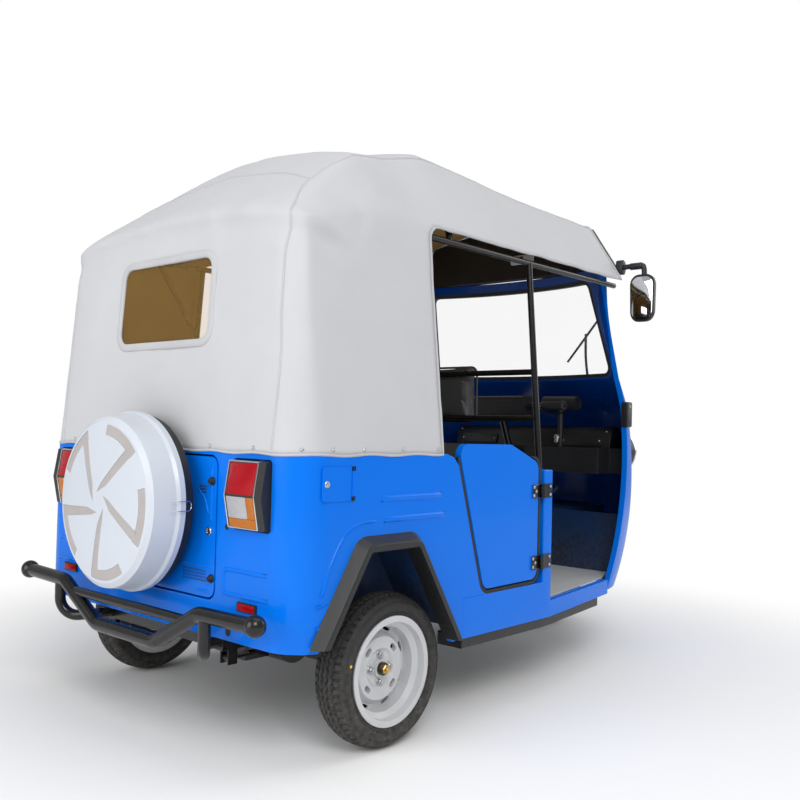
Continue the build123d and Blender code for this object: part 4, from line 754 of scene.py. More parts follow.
def build_wheel_trim(name, body, node, side, rear):
    """Wheel nuts, hub nut, brake drum, valve and balance mark of a wheel."""
    low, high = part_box(node)
    centre = (low + high) / 2
    bm = bmesh.new()
    axis = (0, side, 0)
    face_y = centre.y - side * 0.0025
    for k in range(4):
        turn = math.radians(90 * k)
        at = Vector(
            (centre.x + NUT_CIRCLE * math.cos(turn), face_y, centre.z + NUT_CIRCLE * math.sin(turn))
        )
        add_hex_bolt(bm, at, axis, 0.0088, 0.013, material=0)
        add_lathe(
            bm, [(0.010, 0.0045), (0.018, 0.0045), (0.019, 0.0035), (0.019, 0.0)], at, axis,
            steps=12, material=0,
        )
    if rear:
        hub = Vector((centre.x, centre.y + side * 0.018, centre.z))
        add_lathe(
            bm, [(-0.010, 0.0195), (0.001, 0.0195), (0.002, 0.0185), (0.002, 0.0)], hub, axis,
            steps=32, material=2,
        )
        add_lathe(
            bm, [(0.001, 0.0150), (0.012, 0.0150), (0.0145, 0.0125), (0.0145, 0.0)], hub, axis,
            steps=6, material=1,
        )
        add_lathe(
            bm, [(0.013, 0.0075), (0.020, 0.0075), (0.021, 0.0065), (0.021, 0.0)], hub, axis,
            steps=20, material=1,
        )
    drum = Vector((centre.x, centre.y - side * 0.036, centre.z))
    add_lathe(
        bm,
        [(0.0, 0.083), (0.003, 0.086), (0.003, 0.126), (0.0, 0.129), (-0.004, 0.129), (-0.004, 0.083)],
        drum, axis, steps=48, closed=True, material=4,
    )
    foot = Vector((centre.x - VALVE_CIRCLE, centre.y - side * 0.019, centre.z))
    add_tube(bm, [foot, foot + Vector((0, side * 0.026, 0))], 0.0052, 12, material=2)
    add_tube(
        bm, [foot + Vector((0, side * 0.026, 0)), foot + Vector((0, side * 0.036, 0))], 0.0038, 12,
        material=0,
    )
    wall_y = centre.y + side * 0.0612
    turn = math.pi - 0.25
    mark = Vector(
        (centre.x + MARK_CIRCLE * math.cos(turn), wall_y, centre.z + MARK_CIRCLE * math.sin(turn))
    )
    add_lathe(
        bm, [(-0.004, 0.0045), (0.0006, 0.0045), (0.0009, 0.0040), (0.0009, 0.0)], mark, axis,
        steps=16, material=3,
    )
    add_piece(bm, name, body, ["zinc", "brass", "rubber", "yellow_paint", "black_paint"], 30.0)


WHEELS = (
    # tyre node, rim node, body, outer side, rear
    ("rear_tyre_right", "rear_rim_right", "rear_wheel_right", -1, True),
    ("rear_tyre_left", "rear_rim_left", "rear_wheel_left", 1, True),
    ("front_tyre", "front_rim", "front_wheel", -1, False),
)


# Canvas hood
WINDOW_MIDDLE = (0.0, 1.36)
WINDOW_HALF = (0.25, 0.13)
WINDOW_CORNER = 0.04
OPENING_CORNER = 0.05
CLOTH_THICKNESS = 0.003
BINDING_RADIUS = 0.0042
ROOF_ARC = 0.72
FAN_RAYS = 60
WINDOW_CLEAR_Y = 0.27
WINDOW_CLEAR_Z = (1.215, 1.505)
EAVE_Z = 1.60
EAVE_WIDTH = 0.09
BOW_SPANS = ((-0.455, 0.72), (-0.81, -0.455))
CORNER_PUCKERS = (
    # x, z, depth of a fold near the rear corners
    (-0.905, 1.605, 0.007),
    (-0.930, 1.555, 0.005),
    (-0.865, 1.575, -0.004),
)


class HoodSurface:
    """Outer skin of the CAD canopy, found by rays from outside."""

    def __init__(self):
        node = NODES["canopy"]
        graph = bpy.context.evaluated_depsgraph_get()
        self.tree = BVHTree.FromObject(node, graph)
        self.spine_rear = -0.81
        self.spine_z = 1.30
        self.opening_x = -0.590
        self.opening_z = 1.640
        self.corner = 0.155

    def hit(self, towards, direction, reach=3.0):
        """First point met by a ray that comes from outside along -direction to a point."""
        found = self.tree.ray_cast(towards + direction * reach, -direction)[0]
        return found


def plan_stations(skin, spacing):
    """Stations round the hood's plan, right side, rear, left side: (x, y, outward direction)."""
    half = BODY_SIDE_Y
    corner = skin.corner
    rear_x = BODY_REAR_X
    front_x = CANOPY_HIGH.x
    stations = []
    side_length = front_x - (rear_x + corner)
    count = round(side_length / spacing)
    for k in range(count):
        x = front_x - side_length * k / count
        stations.append((x, -half, Vector((0, -1, 0))))
    arc = max(6, round(corner * math.pi / 2 / spacing))
    for k in range(arc):
        turn = math.pi / 2 * k / arc
        direction = Vector((-math.sin(turn), -math.cos(turn), 0))
        stations.append(
            (rear_x + corner + corner * direction.x, -(half - corner) + corner * direction.y, direction)
        )
    width = 2 * (half - corner)
    count = round(width / spacing)
    for k in range(count + 1):
        stations.append((rear_x, -(half - corner) + width * k / count, Vector((-1, 0, 0))))
    mirrored = [(x, -y, Vector((d.x, -d.y, 0))) for x, y, d in reversed(stations[: -(count + 1)])]
    return stations + mirrored


def even_points(points, count):
    """Points spaced evenly along a line of points."""
    lengths = [0.0]
    for a, b in zip(points, points[1:]):
        lengths.append(lengths[-1] + (b - a).length)
    result = []
    k = 0
    for step in range(count + 1):
        wanted = lengths[-1] * step / count
        while k < len(points) - 2 and lengths[k + 1] < wanted:
            k += 1
        run = lengths[k + 1] - lengths[k]
        result.append(points[k].lerp(points[k + 1], (wanted - lengths[k]) / run if run else 0.0))
    return result


def outline_distance(a, b, middle_a, middle_b, half_a, half_b, radius):
    """Signed distance to a rounded rectangle, with the nearest point on it."""
    qa, qb = abs(a - middle_a) - half_a + radius, abs(b - middle_b) - half_b + radius
    sign_a, sign_b = math.copysign(1, a - middle_a), math.copysign(1, b - middle_b)
    outside = math.hypot(max(qa, 0), max(qb, 0))
    distance = outside + min(max(qa, qb), 0) - radius
    if qa > 0 and qb > 0:
        grad = (qa / outside, qb / outside)
    else:
        grad = (1, 0) if qa > qb else (0, 1)
    return distance, a - sign_a * grad[0] * distance, b - sign_b * grad[1] * distance


def bump(distance, width):
    """1 at no distance, falling away smoothly over a width."""
    return math.exp(-((distance / width) ** 2))


def hood_wrinkle(point, sag):
    """How far the canvas stands off its bows' straight lines at a point."""
    roof = max(0.0, min(1.0, (point.z - 1.62) / 0.15))
    between = 0.0
    for start, end in BOW_SPANS:
        if start < point.x < end:
            between = math.sin(math.pi * (point.x - start) / (end - start)) ** 2
    shape = -sag * roof * between
    wall = 1.0 - roof
    hang = Vector((point.x * 5.0, point.y * 5.0, point.z * 1.1))
    folds = noise.noise(hang) * 0.5 + noise.noise(hang * 2.3) * 0.25
    shape += wall * folds * 0.0055 * min(1.0, (point.z - HEM_Z) / 0.15 + 0.25)
    eave = bump(point.z - EAVE_Z, EAVE_WIDTH)
    shape += eave * noise.noise(Vector((point.x * 9.0, point.y * 9.0, point.z * 5.0))) * 0.006
    shape += 0.0018 * noise.noise(point * 14.0)
    # The roof's rear edge stands over the wall as a soft crease that runs out round the corners
    side = abs(point.y)
    if side < 0.6:
        crease_z = 1.62 - 0.045 * (side / 0.6) ** 2
    else:
        crease_z = 1.575 - 0.22 * (point.x + 1.15)
    fade = max(0.0, min(1.0, (-0.92 - point.x) / 0.12))
    above = point.z - crease_z
    shape += fade * (0.008 * bump(above, 0.017) - 0.004 * bump(above + 0.045, 0.03))
    if side > 0.5:
        for x, z, depth in CORNER_PUCKERS:
            shape -= depth * math.exp(-((point.x - x) / 0.028) ** 2 - ((point.z - z) / 0.032) ** 2)
    return shape


def build_hood_sheet(skin, spacing, sag):
    """The canvas as one sheet with its window and side openings cut out."""
    stations = plan_stations(skin, spacing)
    bm = bmesh.new()
    roof_steps = round(ROOF_ARC / spacing)
    wall_steps = round((skin.opening_z - HEM_Z) / spacing)
    columns, walls = [], []
    for x, y, out in stations:
        rearness = max(0.0, min(1.0, (-0.81 - x) / 0.25))
        level_z = skin.opening_z - 0.115 * rearness * rearness * (3 - 2 * rearness)
        at_level = skin.hit(Vector((x, y, level_z)), out)
        base = Vector((max(x, skin.spine_rear), 0.0, skin.spine_z))
        if x > skin.spine_rear:
            base.x = x
        start = (at_level - base).normalized()
        fan = [at_level]
        for k in range(1, FAN_RAYS + 1):
            direction = start.slerp(Vector((0, 0, 1)), k / FAN_RAYS)
            inner = base + direction * 0.1
            found = skin.hit(inner, direction)
            fan.append(found)
        columns.append([bm.verts.new(p) for p in even_points(fan, roof_steps)])
        if x > skin.opening_x + 0.062:
            walls.append(None)
            continue
        wall = []
        for k in range(wall_steps):
            z = HEM_Z + 0.0005 + (level_z - HEM_Z) * k / wall_steps
            in_window = abs(y) < WINDOW_CLEAR_Y and x < -1.1 and WINDOW_CLEAR_Z[0] < z < WINDOW_CLEAR_Z[1]
            if in_window or x > skin.opening_x - 0.002:
                wall.append(None)
            else:
                wall.append(skin.hit(Vector((x, y, z)), out))
        walls.append((wall, level_z))
    # Places inside the openings follow their neighbours, and are cut away below
    for index, entry in enumerate(walls):
        if entry is None:
            continue
        wall, level_z = entry
        x, y, out = stations[index]
        if x > skin.opening_x - 0.002:
            step = 1
            while True:
                for other in (index - step, index + step):
                    if not 0 <= other < len(walls) or not walls[other]:
                        continue
                    other_x, other_y = stations[other][:2]
                    if other_x < skin.opening_x - 0.004 and other_y * y > 0:
                        donor = walls[other][0]
                        break
                else:
                    step += 1
                    continue
                break
            entry = [Vector((x, p.y, p.z)) for p in donor]
            walls[index] = (entry, level_z)
    for index, entry in enumerate(walls):
        if entry is None:
            continue
        wall, level_z = entry
        known = [k for k, p in enumerate(wall) if p is not None]
        for k, p in enumerate(wall):
            if p is None:
                below = max(i for i in known if i < k)
                above = min([i for i in known if i > k] or [below])
                share = (k - below) / max(1, above - below)
                wall[k] = wall[below].lerp(wall[above], share)
        walls[index] = [bm.verts.new(p) for p in wall] + [columns[index][0]]
    for a, b in zip(columns, columns[1:]):
        bridge(bm, a, b, closed=False)
    for a, b in zip(walls, walls[1:]):
        if a and b:
            bridge(bm, a, b, closed=False)
    bmesh.ops.remove_doubles(bm, verts=bm.verts, dist=0.0006)
    bm.normal_update()
    inner = [v for v in bm.verts if not v.is_boundary]
    for _ in range(4):
        bmesh.ops.smooth_vert(
            bm, verts=inner, factor=0.5, use_axis_x=True, use_axis_y=True, use_axis_z=True,
        )
    bmesh.ops.recalc_face_normals(bm, faces=bm.faces)
    bm.normal_update()
    crown = max(bm.verts, key=lambda v: v.co.z)
    if crown.normal.z < 0:
        bmesh.ops.reverse_faces(bm, faces=bm.faces)
        bm.normal_update()
    moves = [(v, v.normal * hood_wrinkle(v.co, sag)) for v in bm.verts]
    for vertex, move in moves:
        vertex.co += move
    cut_outline(
        bm, 1, 2, WINDOW_MIDDLE, WINDOW_HALF, WINDOW_CORNER,
        lambda p: p.x < -1.0 and 1.0 < p.z < 1.6,
    )
    reach = 2.0
    cut_outline(
        bm, 0, 2, (skin.opening_x + reach, skin.opening_z - reach), (reach, reach), OPENING_CORNER,
        lambda p: abs(p.y) > 0.4,
    )
    # The lower edge dips at each stud and lifts a little between two studs
    for vertex in bm.verts:
        if vertex.is_boundary and vertex.co.z < HEM_Z + 0.02:
            run = vertex.co.x if abs(vertex.co.y) > 0.6 else vertex.co.y
            vertex.co.z += 0.0022 * (1 - math.cos(2 * math.pi * run / 0.205)) - 0.004
    bmesh.ops.delete(bm, geom=[v for v in bm.verts if not v.link_faces], context="VERTS")
    return bm


def cut_outline(bm, axis_a, axis_b, middle, half, radius, near):
    """Cuts a rounded rectangle out of the sheet and draws its edge to that outline."""
    doomed = []
    for face in bm.faces:
        centre = face.calc_center_median()
        if not near(centre):
            continue
        distance = outline_distance(centre[axis_a], centre[axis_b], *middle, *half, radius)[0]
        if distance < 0:
            doomed.append(face)
    rim = {v for f in doomed for v in f.verts}
    bmesh.ops.delete(bm, geom=doomed, context="FACES")
    for vertex in rim:
        if not vertex.is_valid or not vertex.link_faces:
            continue
        distance, a, b = outline_distance(vertex.co[axis_a], vertex.co[axis_b], *middle, *half, radius)
        if abs(distance) < 0.03:
            vertex.co[axis_a] = a
            vertex.co[axis_b] = b


def boundary_loops(bm):
    """Ordered points of each open edge of a sheet."""
    edges = {e for e in bm.edges if e.is_boundary}
    loops = []
    while edges:
        edge = edges.pop()
        loop = [edge.verts[0], edge.verts[1]]
        while True:
            following = [e for e in loop[-1].link_edges if e in edges]
            if not following:
                break
            edges.discard(following[0])
            loop.append(following[0].other_vert(loop[-1]))
        loops.append([v.co.copy() for v in loop])
    return loops


def build_hood():
    """Canvas, edge binding, seams, window border and press studs."""
    chosen = settings()
    skin = HoodSurface()
    bm = build_hood_sheet(skin, chosen.canvas_spacing, chosen.canvas_sag)
    loops = boundary_loops(bm)
    area = sum(f.calc_area() for f in bm.faces)
    sheet_tree = BVHTree.FromBMesh(bm)
    hood = add_piece(bm, "canvas_hood", None, ["canvas", "hood_lining"], 60.0)
    thick = hood.modifiers.new("Cloth thickness", "SOLIDIFY")
    thick.thickness = CLOTH_THICKNESS
    thick.offset = -1.0
    thick.material_offset = 1
    thick.material_offset_rim = 0
    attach(hood, "root")
    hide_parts("canopy")
    binding = bmesh.new()
    for loop in loops:
        if len(loop) > 20:
            closed = (loop[0] - loop[-1]).length < 0.001
            add_tube(binding, loop[:-1] if closed else loop, BINDING_RADIUS, 8, closed=closed)
    edge = add_piece(binding, "hood_binding", "root", ["canvas_binding"], 60.0)
    seams = build_seams(sheet_tree)
    border = build_window_border(sheet_tree)
    studs = build_studs(sheet_tree, chosen.stud_pitch)


SEAM_LINES = (
    # hood seams as points near the canvas, right side first: x, y, z
    (
        (-0.93, 0.0, 1.825), (-0.957, -0.192, 1.797), (-0.965, -0.328, 1.778),
        (-1.0, -0.483, 1.728), (-1.0, -0.491, 1.727),
    ),
    (
        (-1.198, -0.579, 0.905), (-1.186, -0.587, 1.142), (-1.178, -0.578, 1.289),
        (-1.167, -0.574, 1.453), (-1.153, -0.58, 1.583), (-1.0, -0.491, 1.727),
        (-0.81, -0.478, 1.855),
    ),
    (
        (-0.81, -0.478, 1.855), (-0.633, -0.463, 1.89), (-0.405, -0.455, 1.925),
        (-0.222, -0.452, 1.924), (0.10, -0.45, 1.915), (0.72, -0.45, 1.89),
    ),
    ((-0.455, -0.455, 1.925), (-0.455, -0.2, 1.985), (-0.455, 0.0, 1.99)),
)


def on_sheet(tree, point, lift):
    """Point on the canvas nearest to another, lifted off it."""
    found, normal, _, _ = tree.find_nearest(Vector(point))
    outward = normal if normal.dot(found - Vector((-0.3, 0, 1.3))) > 0 else -normal
    return found + outward * lift, outward


def build_seams(tree):
    """Flat sewn tapes along the hood's seams."""
    bm = bmesh.new()
    for line in SEAM_LINES:
        for side in SIDES:
            path = smooth_path([(x, y * -side, z) for x, y, z in line], 14)
            rows = []
            for k, point in enumerate(path):
                at, outward = on_sheet(tree, point, 0.0)
                ahead = path[min(k + 1, len(path) - 1)] - path[max(k - 1, 0)]
                across = ahead.cross(outward).normalized()
                row = []
                for offset, lift in (
                    (-0.0042, 0.0002), (-0.0034, 0.0014), (0.0, 0.0019), (0.0034, 0.0014),
                    (0.0042, 0.0002),
                ):
                    row.append(on_sheet(tree, at + across * offset, lift)[0])
                rows.append([bm.verts.new(p) for p in row])
            for a, b in zip(rows, rows[1:]):
                bridge(bm, a, b, closed=False)
    return add_piece(bm, "hood_seams", "root", ["canvas_binding"], 60.0)


def build_window_border(tree):
    """Raised sewn border round the hood's rear window."""
    bm = bmesh.new()
    sections = (
        (0.003, -0.0005), (0.003, 0.0032), (0.0015, 0.0046), (-0.004, 0.0050), (-0.016, 0.0046),
        (-0.021, 0.0026), (-0.0225, 0.0),
    )
    rings = []
    for inset, lift in sections:
        outline = rounded_outline(
            2 * (WINDOW_HALF[0] - inset), 2 * (
                WINDOW_HALF[1] - inset
            ), WINDOW_CORNER - inset, 8, WINDOW_MIDDLE
        )
        ring = []
        for y, z in outline:
            at, _ = on_sheet(tree, (BODY_REAR_X, y, z), 0.0)
            ring.append(bm.verts.new((at.x - lift, y, z)))
        rings.append(ring)
    for a, b in zip(rings, rings[1:]):
        bridge(bm, a, b)
    return add_piece(bm, "hood_window_border", "root", ["canvas_binding"], 60.0)


def stud_places(pitch):
    """Points just outside the hem, pitch apart, with the way they face."""
    places = []
    corner = 0.12
    rear_x, half = BODY_REAR_X, BODY_SIDE_Y
    for side in SIDES:
        for x in (-0.612, -0.78, -0.95, -1.075):
            places.append((Vector((x, side * half, HEM_Z + 0.014)), Vector((0, side, 0))))
        turn = math.radians(45)
        places.append((
            Vector(
                (
                    rear_x + corner - corner * math.cos(turn),
                    side * (half - corner + corner * math.sin(turn)), HEM_Z + 0.014,
                )
            ),
            Vector((-math.cos(turn), side * math.sin(turn), 0)),
        ))
        for k in range(3):
            places.append((Vector((rear_x, side * (0.09 + pitch * k), HEM_Z + 0.014)), Vector((-1, 0, 0))))
    return places


def build_studs(tree, pitch):
    """Press studs along the hem."""
    bm = bmesh.new()
    for place, out in stud_places(pitch):
        at = tree.find_nearest(place)[0]
        add_lathe(
            bm,
            [
                (-0.001, 0.0062), (0.0020, 0.0062), (0.0026, 0.0056), (0.0020, 0.0047),
                (0.0026, 0.0040), (0.0042, 0.0024), (0.0045, 0.0),
            ],
            at, out, steps=20,
        )
    return add_piece(bm, "hem_studs", "root", ["zinc"], 40.0)


# Seats
SEATS = (
    # node, sewn panels, fill
    ("driver_cushion", 4, 0.75),
    ("driver_backrest", 3, 0.8),
    ("bench_cushion", 6, 0.7),
    ("bench_backrest", 6, 0.7),
)


def pad_mesh(low, high, crown, panels, facing):
    """Padded block with a crowned face, pulled-in sides and sewn channels."""
    size = high - low
    spacing = 0.012
    counts = [max(4, round(s / spacing)) for s in size]
    bm = bmesh.new()
    index = {}

    def vertex(i, j, k):
        key = (i, j, k)
        if key not in index:
            index[key] = bm.verts.new((i / counts[0], j / counts[1], k / counts[2]))
        return index[key]

    for axis in range(3):
        a, b = (axis + 1) % 3, (axis + 2) % 3
        for level in (0, counts[axis]):
            for p in range(counts[a]):
                for q in range(counts[b]):
                    corners = []
                    for dp, dq in ((0, 0), (1, 0), (1, 1), (0, 1)):
                        place = [0, 0, 0]
                        place[axis], place[a], place[b] = level, p + dp, q + dq
                        corners.append(vertex(*place))
                    bm.faces.new(corners)
    rounding = min(size) * 0.34
    for v in bm.verts:
        unit = Vector(v.co)
        point = Vector((low[i] + unit[i] * size[i] for i in range(3)))
        core = Vector((min(max(point[i], low[i] + rounding), high[i] - rounding) for i in range(3)))
        away = point - core
        if away.length > 1e-9:
            away = away.normalized() * min(rounding, max(abs(c) for c in away) * 1.0)
            point = core + away
        v.co = point
    for v in bm.verts:
        unit = Vector(((v.co[i] - low[i]) / size[i] for i in range(3)))
        axis, sign = facing
        others = [i for i in range(3) if i != axis]
        dome = 1.0
        for i in others:
            dome *= max(0.0, 1 - (2 * unit[i] - 1) ** 4)
        top = unit[axis] if sign > 0 else 1 - unit[axis]
        lift = crown * (dome - 0.35) * max(0.0, top - 0.5) * 2
        wide = max(others, key=lambda i: size[i])
        phase = unit[wide] * panels
        channel = math.exp(
            -(((phase + 0.5) % 1.0 - 0.5) / 0.045 * (0.6 / 1.0)) ** 2
        ) if 0.4 < phase < panels - 0.4 else 0.0
        lift -= channel * 0.011 * max(0.0, top - 0.4) * 1.6 * (1.0 if dome > 0.05 else 0.3)
        v.co[axis] += sign * lift
        for i in others:
            middle = (low[i] + high[i]) / 2
            other = [j for j in others if j != i][0]
            pull = 0.006 * (1 - (2 * unit[other] - 1) ** 2) * (abs(2 * unit[i] - 1) ** 6)
            v.co[i] -= math.copysign(pull, v.co[i] - middle)
        v.co += Vector((noise.noise(v.co * 7.0 + Vector((i * 3.1, 0, 0))) for i in range(3))) * 0.0012
    return bm


def inflate(piece, cap):
    """Runs a short pressure simulation on a closed pad and keeps its result within a cap."""
    remesh = piece.modifiers.new("Even mesh", "REMESH")
    remesh.mode = "VOXEL"
    remesh.voxel_size = 0.0075
    graph = bpy.context.evaluated_depsgraph_get()
    mesh = bpy.data.meshes.new_from_object(piece.evaluated_get(graph))
    piece.modifiers.clear()
    materials = list(piece.data.materials)
    piece.data = mesh
    mesh.materials.clear()
    for material in materials:
        mesh.materials.append(material)
    start = [v.co.copy() for v in mesh.vertices]
    cloth = piece.modifiers.new("Pressure", "CLOTH")
    cloth.settings.use_pressure = True
    cloth.settings.uniform_pressure_force = 3.0
    cloth.settings.effector_weights.gravity = 0.0
    cloth.settings.quality = 4
    scene = bpy.context.scene
    cloth.point_cache.frame_start = 1
    cloth.point_cache.frame_end = 12
    for number in range(1, 13):
        scene.frame_set(number)
    graph = bpy.context.evaluated_depsgraph_get()
    swollen = piece.evaluated_get(graph).to_mesh()
    moved = [v.co.copy() for v in swollen.vertices]
    piece.evaluated_get(graph).to_mesh_clear()
    piece.modifiers.clear()
    scene.frame_set(1)
    for vertex, first, last in zip(mesh.vertices, start, moved):
        shift = last - first
        if shift.length > cap:
            shift = shift.normalized() * cap
        vertex.co = first + shift
    mesh.update()


def add_piping(bm, low, high, axis, level, radius=0.0045, inset=0.012):
    """Round cord sewn along the edge of a pad's face."""
    others = [i for i in range(3) if i != axis]
    outline = rounded_outline(
        high[others[0]] - low[others[0]] - 2 * inset, high[others[1]] - low[others[1]] - 2 * inset,
        0.03, 6,
    )
    points = []
    for a, b in outline:
        point = Vector((0, 0, 0))
        point[axis] = level
        point[others[0]] = (low[others[0]] + high[others[0]]) / 2 + a
        point[others[1]] = (low[others[1]] + high[others[1]]) / 2 + b
        points.append(point)
    dense = []
    for a, b in zip(points, points[1:] + points[:1]):
        steps = max(1, round((b - a).length / 0.03))
        dense += [a.lerp(b, k / steps) for k in range(steps)]
    add_tube(bm, dense, radius, 8, closed=True)


def build_seats():
    """Driver's seat and passenger bench, padded and piped."""
    chosen = settings()
    for node, panels, fill in SEATS:
        low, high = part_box(node)
        facing = (2, 1) if "cushion" in node else (0, 1)
        crown = chosen.seat_crown
        inner_low, inner_high = Vector(low), Vector(high)
        margin = 0.004
        for axis in range(3):
            inner_low[axis] += margin
            inner_high[axis] -= margin
        inner_low[facing[0]] = low[facing[0]]
        bm = pad_mesh(inner_low, inner_high, crown, panels, facing)
        pad = add_piece(
            bm, node.replace("cushion", "seat_pad").replace("backrest", "back_pad"), None,
            ["seat_vinyl"], 60.0,
        )
        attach(pad, "root")
        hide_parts(node)
        inflate(pad, 0.005)
        piping = bmesh.new()
        level = high[facing[0]] - (high[facing[0]] - low[facing[0]]) * 0.22
        add_piping(piping, low, high, facing[0], level, inset=0.0045)
        cord = add_piece(piping, pad.name + "_piping", "root", ["seat_vinyl"], 60.0)
        cord.parent = pad.parent


# Body details
RIDGE_SECTION = (
    (-1.0, -0.35), (-0.8, 0.0), (-0.45, 0.75), (0.0, 1.0), (0.45, 0.75), (0.8, 0.0), (1.0, -0.35),
)


def add_ridge(bm, path, out, half_width, height):
    """Soft pressed ridge along a path on a flat panel, sinking into it at both ends."""
    path = [Vector(p) for p in path]
    out = Vector(out)
    lengths = [0.0]
    for a, b in zip(path, path[1:]):
        lengths.append(lengths[-1] + (b - a).length)
    rows = []
    for k, point in enumerate(path):
        ahead = (path[min(k + 1, len(path) - 1)] - path[max(k - 1, 0)]).normalized()
        across = ahead.cross(out)
        to_end = min(lengths[k], lengths[-1] - lengths[k])
        fade = min(1.0, to_end / (3 * half_width)) ** 0.5
        row = []
        for offset, lift in RIDGE_SECTION:
            row.append(
                bm.verts.new(
                    point + across * offset * half_width + out * height * (
                        lift * fade if lift > 0 else lift
                    )
                )
            )
        rows.append(row)
    for a, b in zip(rows, rows[1:]):
        bridge(bm, a, b, closed=False)


def build_side_details():
    """Soft lines pressed into the body's sides and rear corners."""
    bm = bmesh.new()
    for side in SIDES:
        y = side * BODY_SIDE_Y
        for z, x0, x1 in ((0.762, -0.875, -0.590), (0.700, -0.862, -0.575)):
            path = [(x0 + (x1 - x0) * k / 24, y, z) for k in range(25)]
            add_ridge(bm, path, (0, side, 0), 0.012, 0.0058)
        crease = smooth_path(
            [
                (-1.107, y, 0.500), (-1.072, y, 0.590), (-1.018, y, 0.668), (-0.960, y, 0.694),
                (-0.895, y, 0.698),
            ],
            8,
        )
        add_ridge(bm, crease, (0, side, 0), 0.006, 0.0038)
        for z in (0.560, 0.500):
            path = smooth_path([(-1.085, y, z - 0.08), (-1.10, y, z - 0.084), (-1.125, y, z - 0.088)], 6)
            add_ridge(bm, path, (0, side, 0), 0.004, 0.0015)
        corners = (
            (0.575, 0.551), (0.400, 0.551), (0.384, 0.546), (0.379, 0.530), (0.379, 0.502),
            (0.384, 0.486), (0.400, 0.481), (0.582, 0.481),
        )
        path = smooth_path([(BODY_REAR_X, side * a, b) for a, b in corners], 6)
        add_ridge(bm, path, (-1, 0, 0), 0.008, 0.0050)
    add_piece(bm, "body_pressings", "root", ["blue_paint"], 60.0)
    plugs = bmesh.new()
    for side in SIDES:
        add_lathe(
            plugs,
            [
                (-0.001, 0.0085), (0.0016, 0.0082), (0.0024, 0.0066), (0.0016, 0.0050),
                (0.0004, 0.0046), (0.0004, 0.0),
            ],
            (BODY_REAR_X, side * 0.390, 0.672), (-1, 0, 0), steps=24,
        )
        add_prism(
            plugs, rounded_outline(0.020, 0.030, 0.0099, 8, (side * 0.409, 0.374)),
            (BODY_REAR_X, 0, 0), (0, 1, 0), (0, 0, 1), -0.0022, 0.0010,
        )
    add_piece(plugs, "body_plugs", "root", ["rubber"])
    lock = bmesh.new()
    low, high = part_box("charge_flap")
    at = (low.x + 0.017, low.y + 0.0045, (low.z + high.z) / 2)
    add_lathe(
        lock,
        [
            (-0.002, 0.0098), (0.0012, 0.0098), (0.0024, 0.0088), (0.0024, 0.0064),
            (0.0012, 0.0060), (0.0018, 0.0),
        ],
        at, (0, -1, 0), steps=28,
    )
    add_piece(lock, "flap_lock", "flap", ["chrome"])


def build_hinge_bolts():
    """Black hinge leaves with three bolts on the door and two on the post."""
    for side in SIDES:
        door_bolts, post_bolts, leaves = bmesh.new(), bmesh.new(), bmesh.new()
        out = (0, side, 0)
        for z in (0.496, 0.754):
            add_prism(
                leaves, rounded_outline(0.060, 0.050, 0.007, 5, (-0.0475, z)),
                (0, side * (BODY_SIDE_Y + 0.0031), 0), (1, 0, 0), (0, 0, 1), -side * 0.0012, 0.0004,
            )
            add_lathe(
                leaves, [(-0.0123, 0.0), (-0.0123, 0.0094), (0.0123, 0.0094), (0.0123, 0.0)],
                (-0.018, side * (BODY_SIDE_Y + 0.009), z), (0, 0, 1), steps=20,
            )
            for x, dz in ((-0.068, 0.015), (-0.054, 0.0), (-0.068, -0.015)):
                add_dome(door_bolts, (x, side * (BODY_SIDE_Y + 0.0040), z + dz), out, 0.0062, 0.0045)
            for dz in (0.015, -0.015):
                add_dome(post_bolts, (0.040, side * (BODY_SIDE_Y + 0.004), z + dz), out, 0.0056, 0.0045)
        hand = SIDE_NAMES[side]
        add_piece(leaves, f"door_hinge_leaves_{hand}", f"door_{hand}_body", ["black_paint"])
        add_piece(door_bolts, f"door_hinge_bolts_{hand}", f"door_{hand}_body", ["zinc"])
        add_piece(post_bolts, f"post_hinge_bolts_{hand}", "root", ["zinc"])


